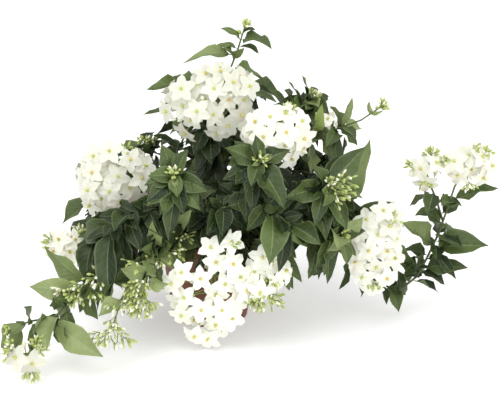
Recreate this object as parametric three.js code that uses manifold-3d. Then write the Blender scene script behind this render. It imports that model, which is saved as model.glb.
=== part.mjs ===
// A flowering potato vine in a small nursery pot, in millimetres, +Z up.
// The origin is the centre of the pot's base. +X is the right of the plant, -Y its front.

import * as THREE from "three";
import { mergeVertices } from "three/addons/utils/BufferGeometryUtils.js";
import Module from "manifold-3d";

const wasm = await Module();
wasm.setup();

// Driving dimensions of the pot and its soil
const RIM_RADIUS = 52.5;
const BASE_RADIUS = 38;
const POT_HEIGHT = 90;
const WALL = 1.5;
const FLOOR = 2;
const RIM_BAND_HEIGHT = 13;
const RIM_BAND_DEPTH = 1.6;
const POT_SIDES = 20;
const DRAIN_HOLES = 4;
const DRAIN_RADIUS = 4;
const DRAIN_CIRCLE = 24;
const SOIL_TOP = 80;
const SOIL_MOUND = 2.5;
const GAP = 0.3;

// Driving dimensions of the plant
const STEM_RADIUS = 1.6;
const STEM_TIP_RADIUS = 0.7;
const STEM_SIDES = 5;
const LONG_SPAN = 34;
const FOOT_RISE = 6;
const TIP_MARGIN = 2.5;
const HOLE_RADIUS = 2.8;
const HOLE_DEPTH = 12;
const HOLE_SIDES = 5;
const LEAF_LENGTH = 46;
const LEAF_WIDTH = 23;
const LEAF_THICKNESS = 1.4;
const PETIOLE_HALF_WIDTH = 1.1;
const PETIOLE_SHARE = 0.15;
const FLOWER_RADIUS = 12.8;
const NOTCH_SHARE = 0.58;
const PETALS = 5;
const STAMEN_LENGTH = 3.4;
const HEAD_STALK_RADIUS = 1.4;
const CORE_INSET = 11;
const STALK_START = 0.75;
const BUD_LENGTH = 8;
const BUD_RADIUS = 2;

const point = (values) => new THREE.Vector3(...values);
const UP = point([0, 0, 1]);
const GOLDEN_ANGLE = THREE.MathUtils.degToRad(137.5);

// A seeded draw between 0 and 1, the same on every run
function seededDraw(seed) {
  let state = seed >>> 0;
  return () => {
    state = (state + 0x6d2b79f5) >>> 0;
    let mixed = Math.imul(state ^ (state >>> 15), state | 1);
    mixed ^= mixed + Math.imul(mixed ^ (mixed >>> 7), mixed | 61);
    return ((mixed ^ (mixed >>> 14)) >>> 0) / 4294967296;
  };
}

// Merges the shared vertices of a closed geometry, drops flattened faces and makes it a solid
function toSolid(geometry) {
  const bare = new THREE.BufferGeometry();
  bare.setAttribute("position", geometry.getAttribute("position").clone());
  bare.setIndex(geometry.getIndex());
  const merged = mergeVertices(bare, 1e-4);
  const index = merged.getIndex().array;
  const faces = [];
  for (let i = 0; i < index.length; i += 3) {
    const [a, b, c] = [index[i], index[i + 1], index[i + 2]];
    if (a !== b && b !== c && c !== a) faces.push(a, b, c);
  }
  const vertProperties = new Float32Array(merged.getAttribute("position").array);
  return new wasm.Manifold(new wasm.Mesh({ numProp: 3, vertProperties, triVerts: new Uint32Array(faces) }));
}

function toGeometry(solid) {
  const mesh = solid.getMesh();
  const geometry = new THREE.BufferGeometry();
  geometry.setAttribute("position", new THREE.BufferAttribute(mesh.vertProperties, 3));
  geometry.setIndex(new THREE.BufferAttribute(mesh.triVerts, 1));
  geometry.computeVertexNormals();
  return geometry;
}

// Skins a row of rings, each an array of points, with as few faces as their counts allow
function loft(rings) {
  const positions = [];
  const starts = [];
  for (const ring of rings) {
    starts.push(positions.length / 3);
    for (const p of ring) positions.push(p.x, p.y, p.z);
  }
  const faces = [];
  for (let r = 0; r + 1 < rings.length; r++) {
    const [m, n] = [rings[r].length, rings[r + 1].length];
    const below = (i) => starts[r] + (i % m);
    const above = (j) => starts[r + 1] + (j % n);
    let [i, j] = [0, 0];
    while (i < m || j < n) {
      if (j === n || (i < m && (i + 1) * n <= (j + 1) * m)) {
        if (m > 1) faces.push(below(i), below(i + 1), above(j));
        i++;
      } else {
        if (n > 1) faces.push(below(i), above(j + 1), above(j));
        j++;
      }
    }
  }
  const last = rings.length - 1;
  for (let i = 1; i + 1 < rings[0].length; i++) faces.push(starts[0], starts[0] + i + 1, starts[0] + i);
  for (let i = 1; i + 1 < rings[last].length; i++) {
    faces.push(starts[last], starts[last] + i, starts[last] + i + 1);
  }
  const geometry = new THREE.BufferGeometry();
  geometry.setAttribute("position", new THREE.Float32BufferAttribute(positions, 3));
  geometry.setIndex(faces);
  return geometry;
}

// A ring of points round a centre, in the plane of two directions, turned from the first to the second
function ring(centre, side, other, radius, count, turn = 0) {
  const points = [];
  for (let i = 0; i < count; i++) {
    const angle = turn + (2 * Math.PI * i) / count;
    const p = centre.clone();
    p.addScaledVector(side, radius * Math.cos(angle));
    p.addScaledVector(other, radius * Math.sin(angle));
    points.push(p);
  }
  return points;
}

// Two directions across a given one
function across(direction) {
  const helper = Math.abs(direction.z) > 0.9 ? new THREE.Vector3(1, 0, 0) : UP;
  const side = new THREE.Vector3().crossVectors(helper, direction).normalize();
  const other = new THREE.Vector3().crossVectors(direction, side);
  return [side, other];
}

// A stem that tapers along its line, its rings carried along without twist
function taperedStem(line, radiusFrom, radiusTo, sides) {
  let side = across(line.curve.getTangent(0))[0];
  return toSolid(loft(line.shares.map((share) => {
    const direction = line.curve.getTangent(share);
    side = side.clone().addScaledVector(direction, -side.dot(direction)).normalize();
    const other = new THREE.Vector3().crossVectors(direction, side);
    const radius = radiusFrom + (radiusTo - radiusFrom) * share;
    return ring(line.curve.getPoint(share), side, other, radius, sides);
  })));
}

// The width of a leaf at a share of its length, as a share of its half width: a drawn-out oval
function leafOutline(v) {
  if (v <= PETIOLE_SHARE) return 0;
  const s = (v - PETIOLE_SHARE) / (1 - PETIOLE_SHARE);
  return Math.pow(Math.sin(Math.PI * Math.pow(s, 0.72)), 0.85);
}

// A point of a leaf. u runs -1..1 across the blade, v 0..1 from its root to its tip, face is 1 above
// and -1 below. The midrib is an arc from the root over a raised middle to the tip; the two halves are
// folded up from it, and their edges wave.
function leafPoint(leaf, u, v, face) {
  const middle = leaf.root.clone().lerp(leaf.tip, 0.45).addScaledVector(leaf.up, leaf.rise);
  const w = 1 - v;
  const p = leaf.root.clone().multiplyScalar(w * w);
  p.addScaledVector(middle, 2 * w * v).addScaledVector(leaf.tip, v * v);
  const along = middle.clone().sub(leaf.root).multiplyScalar(w);
  along.addScaledVector(leaf.tip.clone().sub(middle), v).normalize();
  const side = new THREE.Vector3().crossVectors(along, leaf.up).normalize();
  side.applyAxisAngle(along, leaf.roll + leaf.twist * v);
  const normal = new THREE.Vector3().crossVectors(side, along);
  const stalk = v > 0 && v < 1 ? PETIOLE_HALF_WIDTH * (1 - v) : 0;
  const half = Math.max((leafOutline(v) * leaf.width) / 2, stalk);
  const blade = v > PETIOLE_SHARE && v < 1 ? 1 : 0;
  const wave = Math.sin(2 * Math.PI * (leaf.waves * v + leaf.phase + (u > 0 ? 0.25 : 0)));
  const lift = blade * Math.abs(u) * half * (leaf.fold + leaf.wave * wave);
  const thickness = LEAF_THICKNESS * (1 - Math.abs(u)) * Math.sin(Math.PI * Math.pow(v, 0.5)) ** 0.5;
  p.addScaledVector(side, u * half);
  return p.addScaledVector(normal, lift + (face * thickness) / 2);
}

// A leaf as an upper and a lower sheet that meet along its edge, both split alike. Its foot is a point,
// sunk in the stem, and its stalk has three sides.
function leafSolid(leaf) {
  const places = [leafPoint(leaf, 0, 0, 1)];
  const faces = [];
  const inner = leaf.rows.slice(1, -1);
  const [LEFT, TOP, RIGHT, UNDER] = [1, 2, 3, 4];
  inner.forEach((v) => places.push(
    leafPoint(leaf, -1, v, 1), leafPoint(leaf, 0, v, 1), leafPoint(leaf, 1, v, 1), leafPoint(leaf, 0, v, -1),
  ));
  places.push(leafPoint(leaf, 0, 1, 1));
  const tip = places.length - 1;
  faces.push(0, RIGHT, TOP, 0, TOP, LEFT, 0, LEFT, RIGHT);
  for (let row = 0; row + 1 < inner.length; row++) {
    const [l, t, r, b] = [LEFT, TOP, RIGHT, UNDER].map((corner) => 4 * row + corner);
    const [l2, t2, r2, b2] = [l + 4, t + 4, r + 4, b + 4];
    faces.push(t, r, r2, t, r2, t2, l, t, l2, t, t2, l2);
    if (row === 0) faces.push(l, b2, r, l, l2, b2, r, b2, r2);
    else faces.push(b, r2, r, b, b2, r2, l, l2, b, b, l2, b2);
  }
  const [l, t, r, b] = [LEFT, TOP, RIGHT, UNDER].map((corner) => 4 * (inner.length - 1) + corner);
  faces.push(t, r, tip, l, t, tip, b, tip, r, l, tip, b);
  const geometry = new THREE.BufferGeometry();
  const positions = places.flatMap((place) => place.toArray());
  geometry.setAttribute("position", new THREE.Float32BufferAttribute(positions, 3));
  geometry.setIndex(faces);
  return toSolid(geometry);
}

const LEAF_ROWS = [0, PETIOLE_SHARE, 0.42, 0.72, 1];
const SMALL_LEAF_ROWS = [0, PETIOLE_SHARE, 0.5, 1];

// A five-pointed flower: stalk, open star with its lobes bent back, and the cone of stamens
function flowerSolid(flower) {
  const { centre, facing, root, radius, turn } = flower;
  const [side, other] = across(facing);
  const behind = centre.clone().addScaledVector(facing, -1.6);
  const outline = [];
  for (let i = 0; i < 2 * PETALS; i++) {
    const angle = turn + (Math.PI * i) / PETALS;
    const reach = i % 2 === 0 ? radius : radius * NOTCH_SHARE;
    const p = centre.clone().addScaledVector(facing, i % 2 === 0 ? -flower.bend : 0);
    p.addScaledVector(side, reach * Math.cos(angle));
    p.addScaledVector(other, reach * Math.sin(angle));
    outline.push(p);
  }
  return toSolid(loft([
    [root],
    ring(behind, side, other, 1.1, 3, turn),
    outline,
    [centre.clone().addScaledVector(facing, STAMEN_LENGTH)],
  ]));
}

// A closed bud on its stalk: a slim four-sided club, thickest near its tip
function budSolid(root, tip, radius) {
  const direction = tip.clone().sub(root).normalize();
  const [side, other] = across(direction);
  const belly = root.clone().lerp(tip, 0.72);
  return toSolid(loft([[root], ring(belly, side, other, radius, 4), [tip]]));
}

// The middle of the leafy mound: leaves face away from it, and turn to the light in front
const PLANT_MIDDLE = point([0, 0, 110]);
const FRONT_LIGHT = 0.6;
const LEAF_TRIES = 16;
const FLOWER_TRIES = 7;

// Every solid that stands in place, with the node it belongs to
const standing = [];

function boxOf(solid, margin) {
  const { min, max } = solid.boundingBox();
  return new THREE.Box3(point(min), point(max)).expandByScalar(margin);
}

// True where a solid keeps the gap to other nodes and shares little of its own node's blades
function fits(solid, node, shared) {
  const box = boxOf(solid, GAP);
  if (box.min.z < 0) return false;
  let overlap = 0;
  for (const other of standing) {
    if (!box.intersectsBox(other.box)) continue;
    if (other.node !== node) {
      if (solid.minGap(other.solid, 2 * GAP) < GAP) return false;
    } else {
      overlap += solid.intersect(other.solid).volume();
      if (overlap > shared) return false;
    }
  }
  return true;
}

function stand(node, solid, blade = false) {
  standing.push({ node, solid, blade, box: boxOf(solid, 0) });
}

// Stands the first of several variations that fits; where none does, the piece is left out
function standFirst(node, tries, variation) {
  for (let attempt = 0; attempt < tries; attempt++) {
    const solid = variation(attempt);
    if (fits(solid, node, 0.2 + 0.15 * attempt)) {
      stand(node, solid, true);
      return true;
    }
  }
  return false;
}

// Shoots, in millimetres. A shoot starts in the soil at its foot, or on another shoot of its stem at a
// share of that one's length, and runs through the points of its path.
const SHOOTS = [
  {
    name: "top", stem: "stem_top", foot: [4, 12],
    path: [[8, 16, 140], [10, 16, 200], [18, 13, 245], [29, 12, 274], [36, 10, 298]],
    leaves: 4, bare: 0.35, size: 0.85, tip: "buds",
  },
  {
    name: "top_left", stem: "stem_top", from: ["top", 0.42],
    path: [[-8, 20, 196], [-18, 16, 224], [-22, 8, 245]],
    leaves: 2, bare: 0.2, size: 0.8, tip: "leaves",
  },
  {
    name: "top_back", stem: "stem_top", from: ["top", 0.5],
    path: [[20, 36, 215], [36, 44, 236]],
    leaves: 2, bare: 0.2, size: 0.85, tip: "leaves",
  },
  {
    name: "crown_right", stem: "stem_crown_right", foot: [20, 14],
    path: [[36, 22, 140], [64, 26, 184], [86, 24, 210], [102, 18, 222]],
    leaves: 5, bare: 0.3, size: 0.8, tip: "rosette",
  },
  {
    name: "bud_shoot", stem: "stem_crown_right", from: ["crown_right", 0.45],
    path: [[92, 12, 182], [124, 3, 195], [150, -3, 207], [169, -5, 221]],
    leaves: 3, bare: 0.1, size: 0.6, tip: "buds",
  },
  {
    name: "rosette_left", stem: "stem_front_left", foot: [-14, -22],
    path: [[-20, -46, 124], [-27, -66, 164], [-30, -88, 178]],
    leaves: 5, bare: 0.3, size: 0.9, tip: "rosette",
  },
  {
    name: "front_left", stem: "stem_front_left", from: ["rosette_left", 0.45],
    path: [[-50, -66, 138], [-76, -78, 134], [-96, -82, 118]],
    leaves: 6, bare: 0.1, size: 0.95, tip: "leaves",
  },
  {
    name: "between", stem: "stem_front_left", from: ["rosette_left", 0.35],
    path: [[-4, -60, 126], [8, -72, 138], [18, -78, 144]],
    leaves: 6, bare: 0.15, size: 0.75, tip: "leaves",
  },
  {
    name: "rosette_middle", stem: "stem_front_middle", foot: [12, -22],
    path: [[24, -46, 130], [42, -66, 178], [50, -88, 192]],
    leaves: 5, bare: 0.3, size: 0.95, tip: "rosette",
  },
  {
    name: "front_low", stem: "stem_front_middle", from: ["rosette_middle", 0.42],
    path: [[48, -74, 146], [66, -86, 140], [84, -90, 126]],
    leaves: 6, bare: 0.05, size: 0.95, tip: "leaves",
  },
  {
    name: "rosette_right", stem: "stem_front_right", foot: [27, -15],
    path: [[60, -38, 122], [98, -54, 154], [116, -76, 163]],
    leaves: 5, bare: 0.25, size: 0.95, tip: "rosette",
  },
  {
    name: "rosette_low", stem: "stem_front_right", from: ["rosette_right", 0.5],
    path: [[108, -60, 116], [128, -76, 112]],
    leaves: 2, bare: 0.15, size: 0.9, tip: "rosette",
  },
  {
    name: "beside_pot", stem: "stem_front_right", from: ["rosette_right", 0.35],
    path: [[66, -56, 104], [66, -72, 86], [54, -85, 58]],
    leaves: 2, bare: 0.1, size: 0.6, tip: "spray",
  },
  {
    name: "left_high", stem: "stem_left_high", foot: [-24, -4],
    path: [[-44, -6, 126], [-64, -6, 142], [-72, -12, 148]],
    leaves: 2, bare: 0.3, size: 0.95, tip: "head",
  },
  {
    name: "left_shoulder", stem: "stem_left_high", from: ["left_high", 0.5],
    path: [[-52, 14, 150], [-60, 24, 164], [-66, 30, 172]],
    leaves: 5, bare: 0.1, size: 0.85, tip: "leaves",
  },
  {
    name: "left_low", stem: "stem_left", foot: [-35, -12],
    path: [[-62, -16, 106], [-96, -16, 98], [-118, -18, 90]],
    leaves: 4, bare: 0.3, size: 0.85, tip: "head",
  },
  {
    name: "left_dark", stem: "stem_left", from: ["left_low", 0.45],
    path: [[-84, -44, 112], [-112, -62, 104]],
    leaves: 5, bare: 0.05, size: 1, tip: "leaves",
  },
  {
    name: "trailing_left", stem: "stem_trailing_left", foot: [-30, -27],
    path: [[-46, -44, 106], [-80, -74, 92], [-114, -100, 72], [-142, -126, 52], [-164, -148, 28]],
    leaves: 2, bare: 0.4, size: 0.8, tip: "head",
  },
  {
    name: "trailing_side", stem: "stem_trailing_left", from: ["trailing_left", 0.84],
    path: [[-166, -134, 50], [-184, -146, 46]],
    leaves: 1, bare: 0.1, size: 0.7, tip: "buds",
  },
  {
    name: "hanging_buds", stem: "stem_hanging_buds", foot: [-18, -34],
    path: [[-34, -56, 104], [-54, -82, 98], [-76, -110, 74], [-88, -132, 44]],
    leaves: 2, bare: 0.25, size: 0.6, tip: "spray",
  },
  {
    name: "hanging_buds_left", stem: "stem_hanging_buds", from: ["hanging_buds", 0.62],
    path: [[-82, -92, 86], [-104, -98, 82], [-122, -102, 72]],
    leaves: 1, bare: 0.1, size: 0.7, tip: "spray",
  },
  {
    name: "hanging_buds_right", stem: "stem_hanging_buds", from: ["hanging_buds", 0.6],
    path: [[-56, -98, 84], [-60, -110, 66]],
    leaves: 1, bare: 0.1, size: 0.6, tip: "spray",
  },
  {
    name: "crown_head", stem: "stem_top", from: ["top", 0.38],
    path: [[4, 4, 180], [1, -4, 198], [0, -10, 210]],
    leaves: 1, bare: 0.1, size: 0.9, tip: "head",
  },
  {
    name: "middle_head", stem: "stem_front_middle", from: ["rosette_middle", 0.4],
    path: [[36, -38, 160], [50, -38, 178], [57, -40, 190]],
    leaves: 3, bare: 0.1, size: 0.9, tip: "head",
  },
  {
    name: "low_head", stem: "stem_low_head", foot: [6, -36],
    path: [[4, -56, 112], [12, -68, 112], [16, -76, 104]],
    leaves: 3, bare: 0.3, size: 0.9, tip: "head",
  },
  {
    name: "low_right_head", stem: "stem_low_head", from: ["low_head", 0.4],
    path: [[24, -62, 110], [38, -68, 104], [45, -72, 94]],
    leaves: 2, bare: 0.1, size: 0.75, tip: "head",
  },
  {
    name: "right_head", stem: "stem_right_head", foot: [40, -8],
    path: [[70, -12, 116], [104, -20, 128], [138, -28, 118], [150, -32, 108]],
    leaves: 6, bare: 0.25, size: 1, tip: "head",
  },
  {
    name: "trailing_right", stem: "stem_trailing_right", foot: [38, 8],
    path: [[62, 8, 108], [100, 6, 90], [140, 2, 60], [170, 0, 34], [194, -2, 25], [211, -1, 40],
      [221, 1, 60], [232, 3, 86], [240, 5, 112], [246, 6, 134]],
    leaves: 5, bare: 0.3, size: 0.75, tip: "head",
  },
  {
    name: "trailing_right_top", stem: "stem_trailing_right", from: ["trailing_right", 0.86],
    path: [[228, 4, 122], [221, 4, 138]],
    leaves: 0, bare: 0.2, size: 0.6, tip: "head",
  },
  {
    name: "back_left", stem: "stem_back_left", foot: [-22, 18],
    path: [[-50, 40, 126], [-80, 58, 134], [-104, 70, 128]],
    leaves: 2, bare: 0.2, size: 1, tip: "rosette",
  },
  {
    name: "back_left_low", stem: "stem_back_left", from: ["back_left", 0.5],
    path: [[-84, 66, 124], [-108, 82, 96], [-120, 92, 66]],
    leaves: 2, bare: 0.1, size: 1, tip: "leaves",
  },
  {
    name: "back_head", stem: "stem_back_left", from: ["back_left", 0.4],
    path: [[-34, 60, 154], [-22, 80, 174], [-17, 88, 186]],
    leaves: 2, bare: 0.1, size: 0.95, tip: "head",
  },
  {
    name: "back_middle", stem: "stem_back_middle", foot: [8, 34],
    path: [[12, 66, 140], [18, 96, 160], [22, 116, 160]],
    leaves: 2, bare: 0.25, size: 1, tip: "rosette",
  },
  {
    name: "back_hanging", stem: "stem_back_middle", from: ["back_middle", 0.45],
    path: [[0, 98, 124], [-10, 122, 96], [-14, 132, 60]],
    leaves: 2, bare: 0.1, size: 1.05, tip: "leaves",
  },
  {
    name: "back_right", stem: "stem_back_right", foot: [24, 26],
    path: [[54, 52, 140], [82, 68, 156], [94, 74, 162]],
    leaves: 2, bare: 0.25, size: 0.95, tip: "head",
  },
  {
    name: "back_right_low", stem: "stem_back_right", from: ["back_right", 0.45],
    path: [[84, 76, 128], [106, 94, 104], [120, 102, 74]],
    leaves: 2, bare: 0.1, size: 1, tip: "leaves",
  },
  {
    name: "right_back", stem: "stem_back_right", from: ["back_right", 0.35],
    path: [[70, 40, 136], [108, 32, 142], [134, 28, 138]],
    leaves: 3, bare: 0.1, size: 1, tip: "rosette",
  },
  {
    name: "left_back", stem: "stem_left", from: ["left_low", 0.35],
    path: [[-74, 6, 112], [-98, 20, 106], [-116, 28, 88]],
    leaves: 4, bare: 0.1, size: 0.75, tip: "leaves",
  },
];

// Leaves that stand out in the plant's outline: shoot, share of its length, tip, width, rise of the arch
const OUTLINE_LEAVES = [
  ["top", 0.8, [-26, 2, 262], 15, 14],
  ["top", 0.9, [12, 6, 297], 9, 7],
  ["top", 0.84, [6, 14, 276], 9, 6],
  ["top", 0.86, [50, 8, 271], 9, 5],
  ["top", 0.95, [47, 10, 294], 7, 5],
  ["top", 0.72, [56, 8, 242], 22, 9],
  ["top", 0.6, [24, -6, 222], 20, 8],
  ["top_left", 0.9, [-60, -4, 238], 15, 7],
  ["top_left", 0.5, [-64, -12, 215], 17, 5],
  ["left_shoulder", 0.6, [-58, -2, 180], 16, 6],
  ["crown_right", 0.74, [58, 18, 232], 15, 8],
  ["crown_right", 0.84, [78, 14, 242], 14, 8],
  ["top", 0.62, [68, 6, 222], 24, 8],
  ["crown_right", 0.75, [74, 4, 236], 22, 8],
  ["crown_right", 0.9, [120, 12, 208], 17, 9],
  ["crown_right", 0.8, [94, 0, 192], 20, 6],
  ["bud_shoot", 0.55, [141, -2, 231], 11, 6],
  ["bud_shoot", 0.3, [112, 4, 222], 14, 6],
  ["rosette_right", 0.97, [151, -50, 195], 24, 5],
  ["rosette_right", 0.85, [150, -62, 146], 24, 8],
  ["right_head", 0.72, [157, -34, 198], 24, 5],
  ["right_head", 0.85, [184, -26, 130], 15, 7],
  ["front_low", 0.3, [78, -100, 128], 20, 6],
  ["beside_pot", 0.6, [40, -98, 62], 17, 6],
  ["beside_pot", 0.85, [34, -94, 44], 14, 6],
  ["rosette_left", 0.85, [-56, -100, 152], 17, 5],
  ["front_left", 0.8, [-72, -96, 74], 22, 10],
  ["hanging_buds", 0.36, [-13, -86, 146], 14, 8],
  ["hanging_buds", 0.52, [-51, -98, 138], 14, 6],
  ["hanging_buds_right", 0.5, [-82, -106, 92], 18, 4],
  ["hanging_buds_right", 0.7, [-36, -106, 76], 14, 4],
  ["trailing_left", 0.66, [-156, -92, 99], 20, 8],
  ["trailing_left", 0.7, [-168, -112, 76], 23, 9],
  ["trailing_left", 0.86, [-94, -166, 28], 26, 8],
  ["trailing_side", 0.6, [-190, -160, 34], 18, 10],
  ["trailing_right", 0.76, [282, -8, 76], 30, 5],
  ["trailing_right", 0.5, [168, -14, 66], 22, 6],
  ["trailing_right", 0.84, [212, -12, 116], 24, 6],
  ["trailing_right", 0.94, [292, 4, 134], 14, 5],
  ["trailing_right", 0.77, [192, -10, 102], 24, 6],
  ["trailing_right", 0.68, [262, -8, 52], 20, 5],
  ["trailing_right", 0.6, [180, -8, 84], 20, 8],
];

// Flower heads: the middle in millimetres, the half sizes of the dome that the flowers stand on, and
// the places of stalk knots, flowers and buds as seen from the front, right and up from the middle
const HEADS = [
  { name: "head_crown", shoot: "crown_head", at: [3, -26, 237], half: [38, 26, 32],
    flowers: [[10, 30], [-4, 29], [21, 20], [-13, 18], [4, 16], [28, 23], [36, 14], [32, 2], [-27, 14],
      [-35, 2], [-39, -9], [-25, -3], [-12, -6], [18, 3], [4, -10], [-18, -17], [17, -22], [6, -32],
      [-25, -34], [-4, 4], [30, -12]],
    buds: [[-8, 8], [22, 10], [-38, 12], [-32, -22]], behind: 2 },
  { name: "head_middle", shoot: "middle_head", at: [66, -58, 212], half: [28, 20, 26],
    flowers: [[-6, 20], [-20, 14], [-25, 2], [8, 22], [-12, 2], [24, 14], [9, 6], [8, -8], [26, -2],
      [26, -13], [16, -25], [-6, -13]],
    buds: [[2, -18], [30, -20]], behind: 2 },
  { name: "head_left", shoot: "left_high", at: [-92, -30, 158], half: [33, 24, 34],
    flowers: [[-2, 31], [-18, 25], [18, 23], [-3, 18], [-19, 11], [5, 7], [-29, 7], [28, 3], [-9, 2],
      [32, 14], [-2, -6], [17, -6], [-20, -6], [-11, -17], [6, -19], [22, -19], [-6, -31], [-22, -24]],
    buds: [[32, 14], [-32, 18], [12, -30]], behind: 2 },
  { name: "head_far_left", shoot: "left_low", at: [-140, -22, 84], half: [16, 14, 12],
    flowers: [[-8, 9], [8, 8], [-14, -4], [2, -5], [14, -6]],
    buds: [[-18, 6], [4, 14], [-8, -13]], behind: 1 },
  { name: "head_trailing_left", shoot: "trailing_left", at: [-167, -155, 23], half: [16, 10, 12],
    flowers: [[-9, 4], [6, -3]],
    buds: [[-18, 12], [18, 8], [-20, -2], [14, 14], [-2, 18], [-12, -10], [2, -14]], behind: 0 },
  { name: "head_low", shoot: "low_head", at: [4, -90, 72], half: [38, 14, 56],
    flowers: [[20, 44], [0, 38], [5, 25], [19, 22], [-28, 14], [-9, 8], [-36, 2], [28, 8], [14, 2],
      [4, -10], [-26, -12], [25, -16], [10, -22], [-10, -24], [-28, -30], [-17, -38], [20, -34],
      [4, -42], [-15, -50], [10, -52], [-4, -58], [-34, -20], [34, -6]],
    buds: [[8, 59], [19, 56], [-30, -40]], behind: 0 },
  { name: "head_low_right", shoot: "low_right_head", at: [51, -86, 78], half: [17, 12, 18],
    flowers: [[-7, 7], [10, 12], [2, 20], [14, -8], [0, -10], [20, 4]],
    buds: [[-12, -14], [10, -20]], behind: 0 },
  { name: "head_right", shoot: "right_head", at: [162, -46, 92], half: [26, 18, 44],
    flowers: [[8, 40], [20, 36], [-8, 32], [14, 24], [-16, 18], [2, 16], [22, 12], [-24, 6], [-6, 2],
      [12, 0], [-18, -12], [22, -10], [2, -16], [-10, -28], [12, -28], [0, -42]],
    buds: [[28, 24], [-24, -18], [12, -42]], behind: 2 },
  { name: "head_far_right", shoot: "trailing_right", at: [257, 4, 158], half: [21, 13, 17],
    flowers: [[-14, 8], [0, 14], [14, 12], [22, 2], [-10, -7], [4, -2], [16, -10]],
    buds: [[-16, 8], [22, 16], [4, 22]], behind: 2 },
  { name: "head_small_right", shoot: "trailing_right_top", at: [216, 2, 156], half: [11, 9, 9],
    flowers: [[-6, 2], [8, 6], [0, -8]],
    buds: [[-10, 9], [2, 13], [12, -2]], behind: 1 },
  { name: "head_back_left", shoot: "back_head", at: [-14, 98, 204], half: [22, 18, 20],
    turned: true,
    flowers: [[-12, 12], [8, 16], [20, 4], [0, 2], [-18, -4], [10, -12], [-6, -14]],
    buds: [[-18, 12], [16, 16], [4, 20]], behind: 2 },
  { name: "head_back_right", shoot: "back_right", at: [104, 84, 176], half: [20, 16, 18],
    turned: true,
    flowers: [[-10, 11], [9, 13], [18, 0], [-1, 0], [-17, -3], [6, -12]],
    buds: [[-16, 12], [16, 12], [2, 18]], behind: 2 },
];

// The middle lines of the shoots, by name: a Catmull-Rom curve with even weights, and the shares of it
// at which the stem has a ring. A stem runs straight between its rings.
const lines = {};
const plant = new THREE.Group();

function shootLine(shoot) {
  const points = shoot.path.map(point);
  if (shoot.foot) {
    const [x, y] = shoot.foot;
    points.unshift(point([x, y, SOIL_TOP - HOLE_DEPTH + GAP]), point([x, y, SOIL_TOP + FOOT_RISE]));
  } else {
    points.unshift(axisPoint(lines[shoot.from[0]], shoot.from[1]));
  }
  const curve = new THREE.CatmullRomCurve3(points, false, "catmullrom", 0.5);
  const spans = points.length - 1;
  const shares = [];
  for (let span = 0; span < spans; span++) {
    shares.push(span / spans);
    const long = points[span].distanceTo(points[span + 1]) > LONG_SPAN;
    if (long && !(shoot.foot && span === 0)) shares.push((span + 0.5) / spans);
  }
  shares.push(1);
  const length = points.slice(1).reduce((sum, p, k) => sum + p.distanceTo(points[k]), 0);
  return { curve, shares, length };
}

// A place on the middle line of a stem, kept inside the stem's tip
function axisPoint(line, wanted) {
  const share = Math.min(wanted, 1 - TIP_MARGIN / line.length);
  const next = line.shares.findIndex((value) => value > share);
  const [from, to] = [line.shares[next - 1], line.shares[next]];
  return line.curve.getPoint(from).lerp(line.curve.getPoint(to), (share - from) / (to - from));
}

// The stems, thinner on side shoots
for (const shoot of SHOOTS) {
  const line = shootLine(shoot);
  lines[shoot.name] = line;
  const base = shoot.foot ? STEM_RADIUS : STEM_TIP_RADIUS + 0.4;
  const tip = shoot.tip === "head" ? STEM_TIP_RADIUS + 0.3 : STEM_TIP_RADIUS;
  stand(shoot.stem, taperedStem(line, base, tip, shoot.foot ? STEM_SIDES : 4));
}

// Outer radius of the pot's tapered wall at a height
const wallAt = (z) => BASE_RADIUS + ((RIM_RADIUS - RIM_BAND_DEPTH - BASE_RADIUS) * z) / POT_HEIGHT;

// Pot: a turned cup with a flat base, a band round the rim and drain holes in the base
function potSolid() {
  const band = POT_HEIGHT - RIM_BAND_HEIGHT;
  const profile = [
    [0, 0], [BASE_RADIUS, 0], [wallAt(band), band], [wallAt(band) + RIM_BAND_DEPTH, band + 1.5],
    [RIM_RADIUS, POT_HEIGHT], [wallAt(POT_HEIGHT) - WALL, POT_HEIGHT],
    [wallAt(FLOOR) - WALL, FLOOR], [0, FLOOR],
  ].map(([r, z]) => new THREE.Vector2(r, z));
  const cup = new THREE.LatheGeometry(profile, POT_SIDES).rotateX(Math.PI / 2);
  let pot = toSolid(cup);
  for (let i = 0; i < DRAIN_HOLES; i++) {
    const angle = (2 * Math.PI * (i + 0.5)) / DRAIN_HOLES;
    const hole = new THREE.CylinderGeometry(DRAIN_RADIUS, DRAIN_RADIUS, 3 * FLOOR, 8).rotateX(Math.PI / 2);
    hole.translate(DRAIN_CIRCLE * Math.cos(angle), DRAIN_CIRCLE * Math.sin(angle), FLOOR / 2);
    pot = pot.subtract(toSolid(hole));
  }
  return pot;
}

// Soil: fills the pot, heaped a little in the middle, with a plain hole for each stem
function soilSolid() {
  const inside = (z) => wallAt(z) - WALL - 2 * GAP;
  const edge = SOIL_TOP - SOIL_MOUND;
  const profile = [
    [0, FLOOR + GAP], [inside(FLOOR), FLOOR + GAP], [inside(edge), edge], [0.6 * BASE_RADIUS, SOIL_TOP],
    [0, SOIL_TOP],
  ].map(([r, z]) => new THREE.Vector2(r, z));
  let soil = toSolid(new THREE.LatheGeometry(profile, POT_SIDES).rotateX(Math.PI / 2));
  for (const shoot of SHOOTS.filter((entry) => entry.foot)) {
    const hole = new THREE.CylinderGeometry(HOLE_RADIUS, HOLE_RADIUS, HOLE_DEPTH + 2, HOLE_SIDES);
    hole.rotateX(Math.PI / 2);
    hole.translate(shoot.foot[0], shoot.foot[1], SOIL_TOP - HOLE_DEPTH + HOLE_DEPTH / 2 + 1);
    soil = soil.subtract(toSolid(hole));
  }
  return soil;
}

stand("pot", potSolid());
stand("soil", soilSolid());

// Half sizes of the core that a head's flowers stand out of
function coreHalf(head) {
  const [a, b, c] = head.half;
  return [Math.max(a - CORE_INSET, 5), Math.max(0.5 * b, 5), Math.max(c - CORE_INSET, 5)];
}

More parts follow.
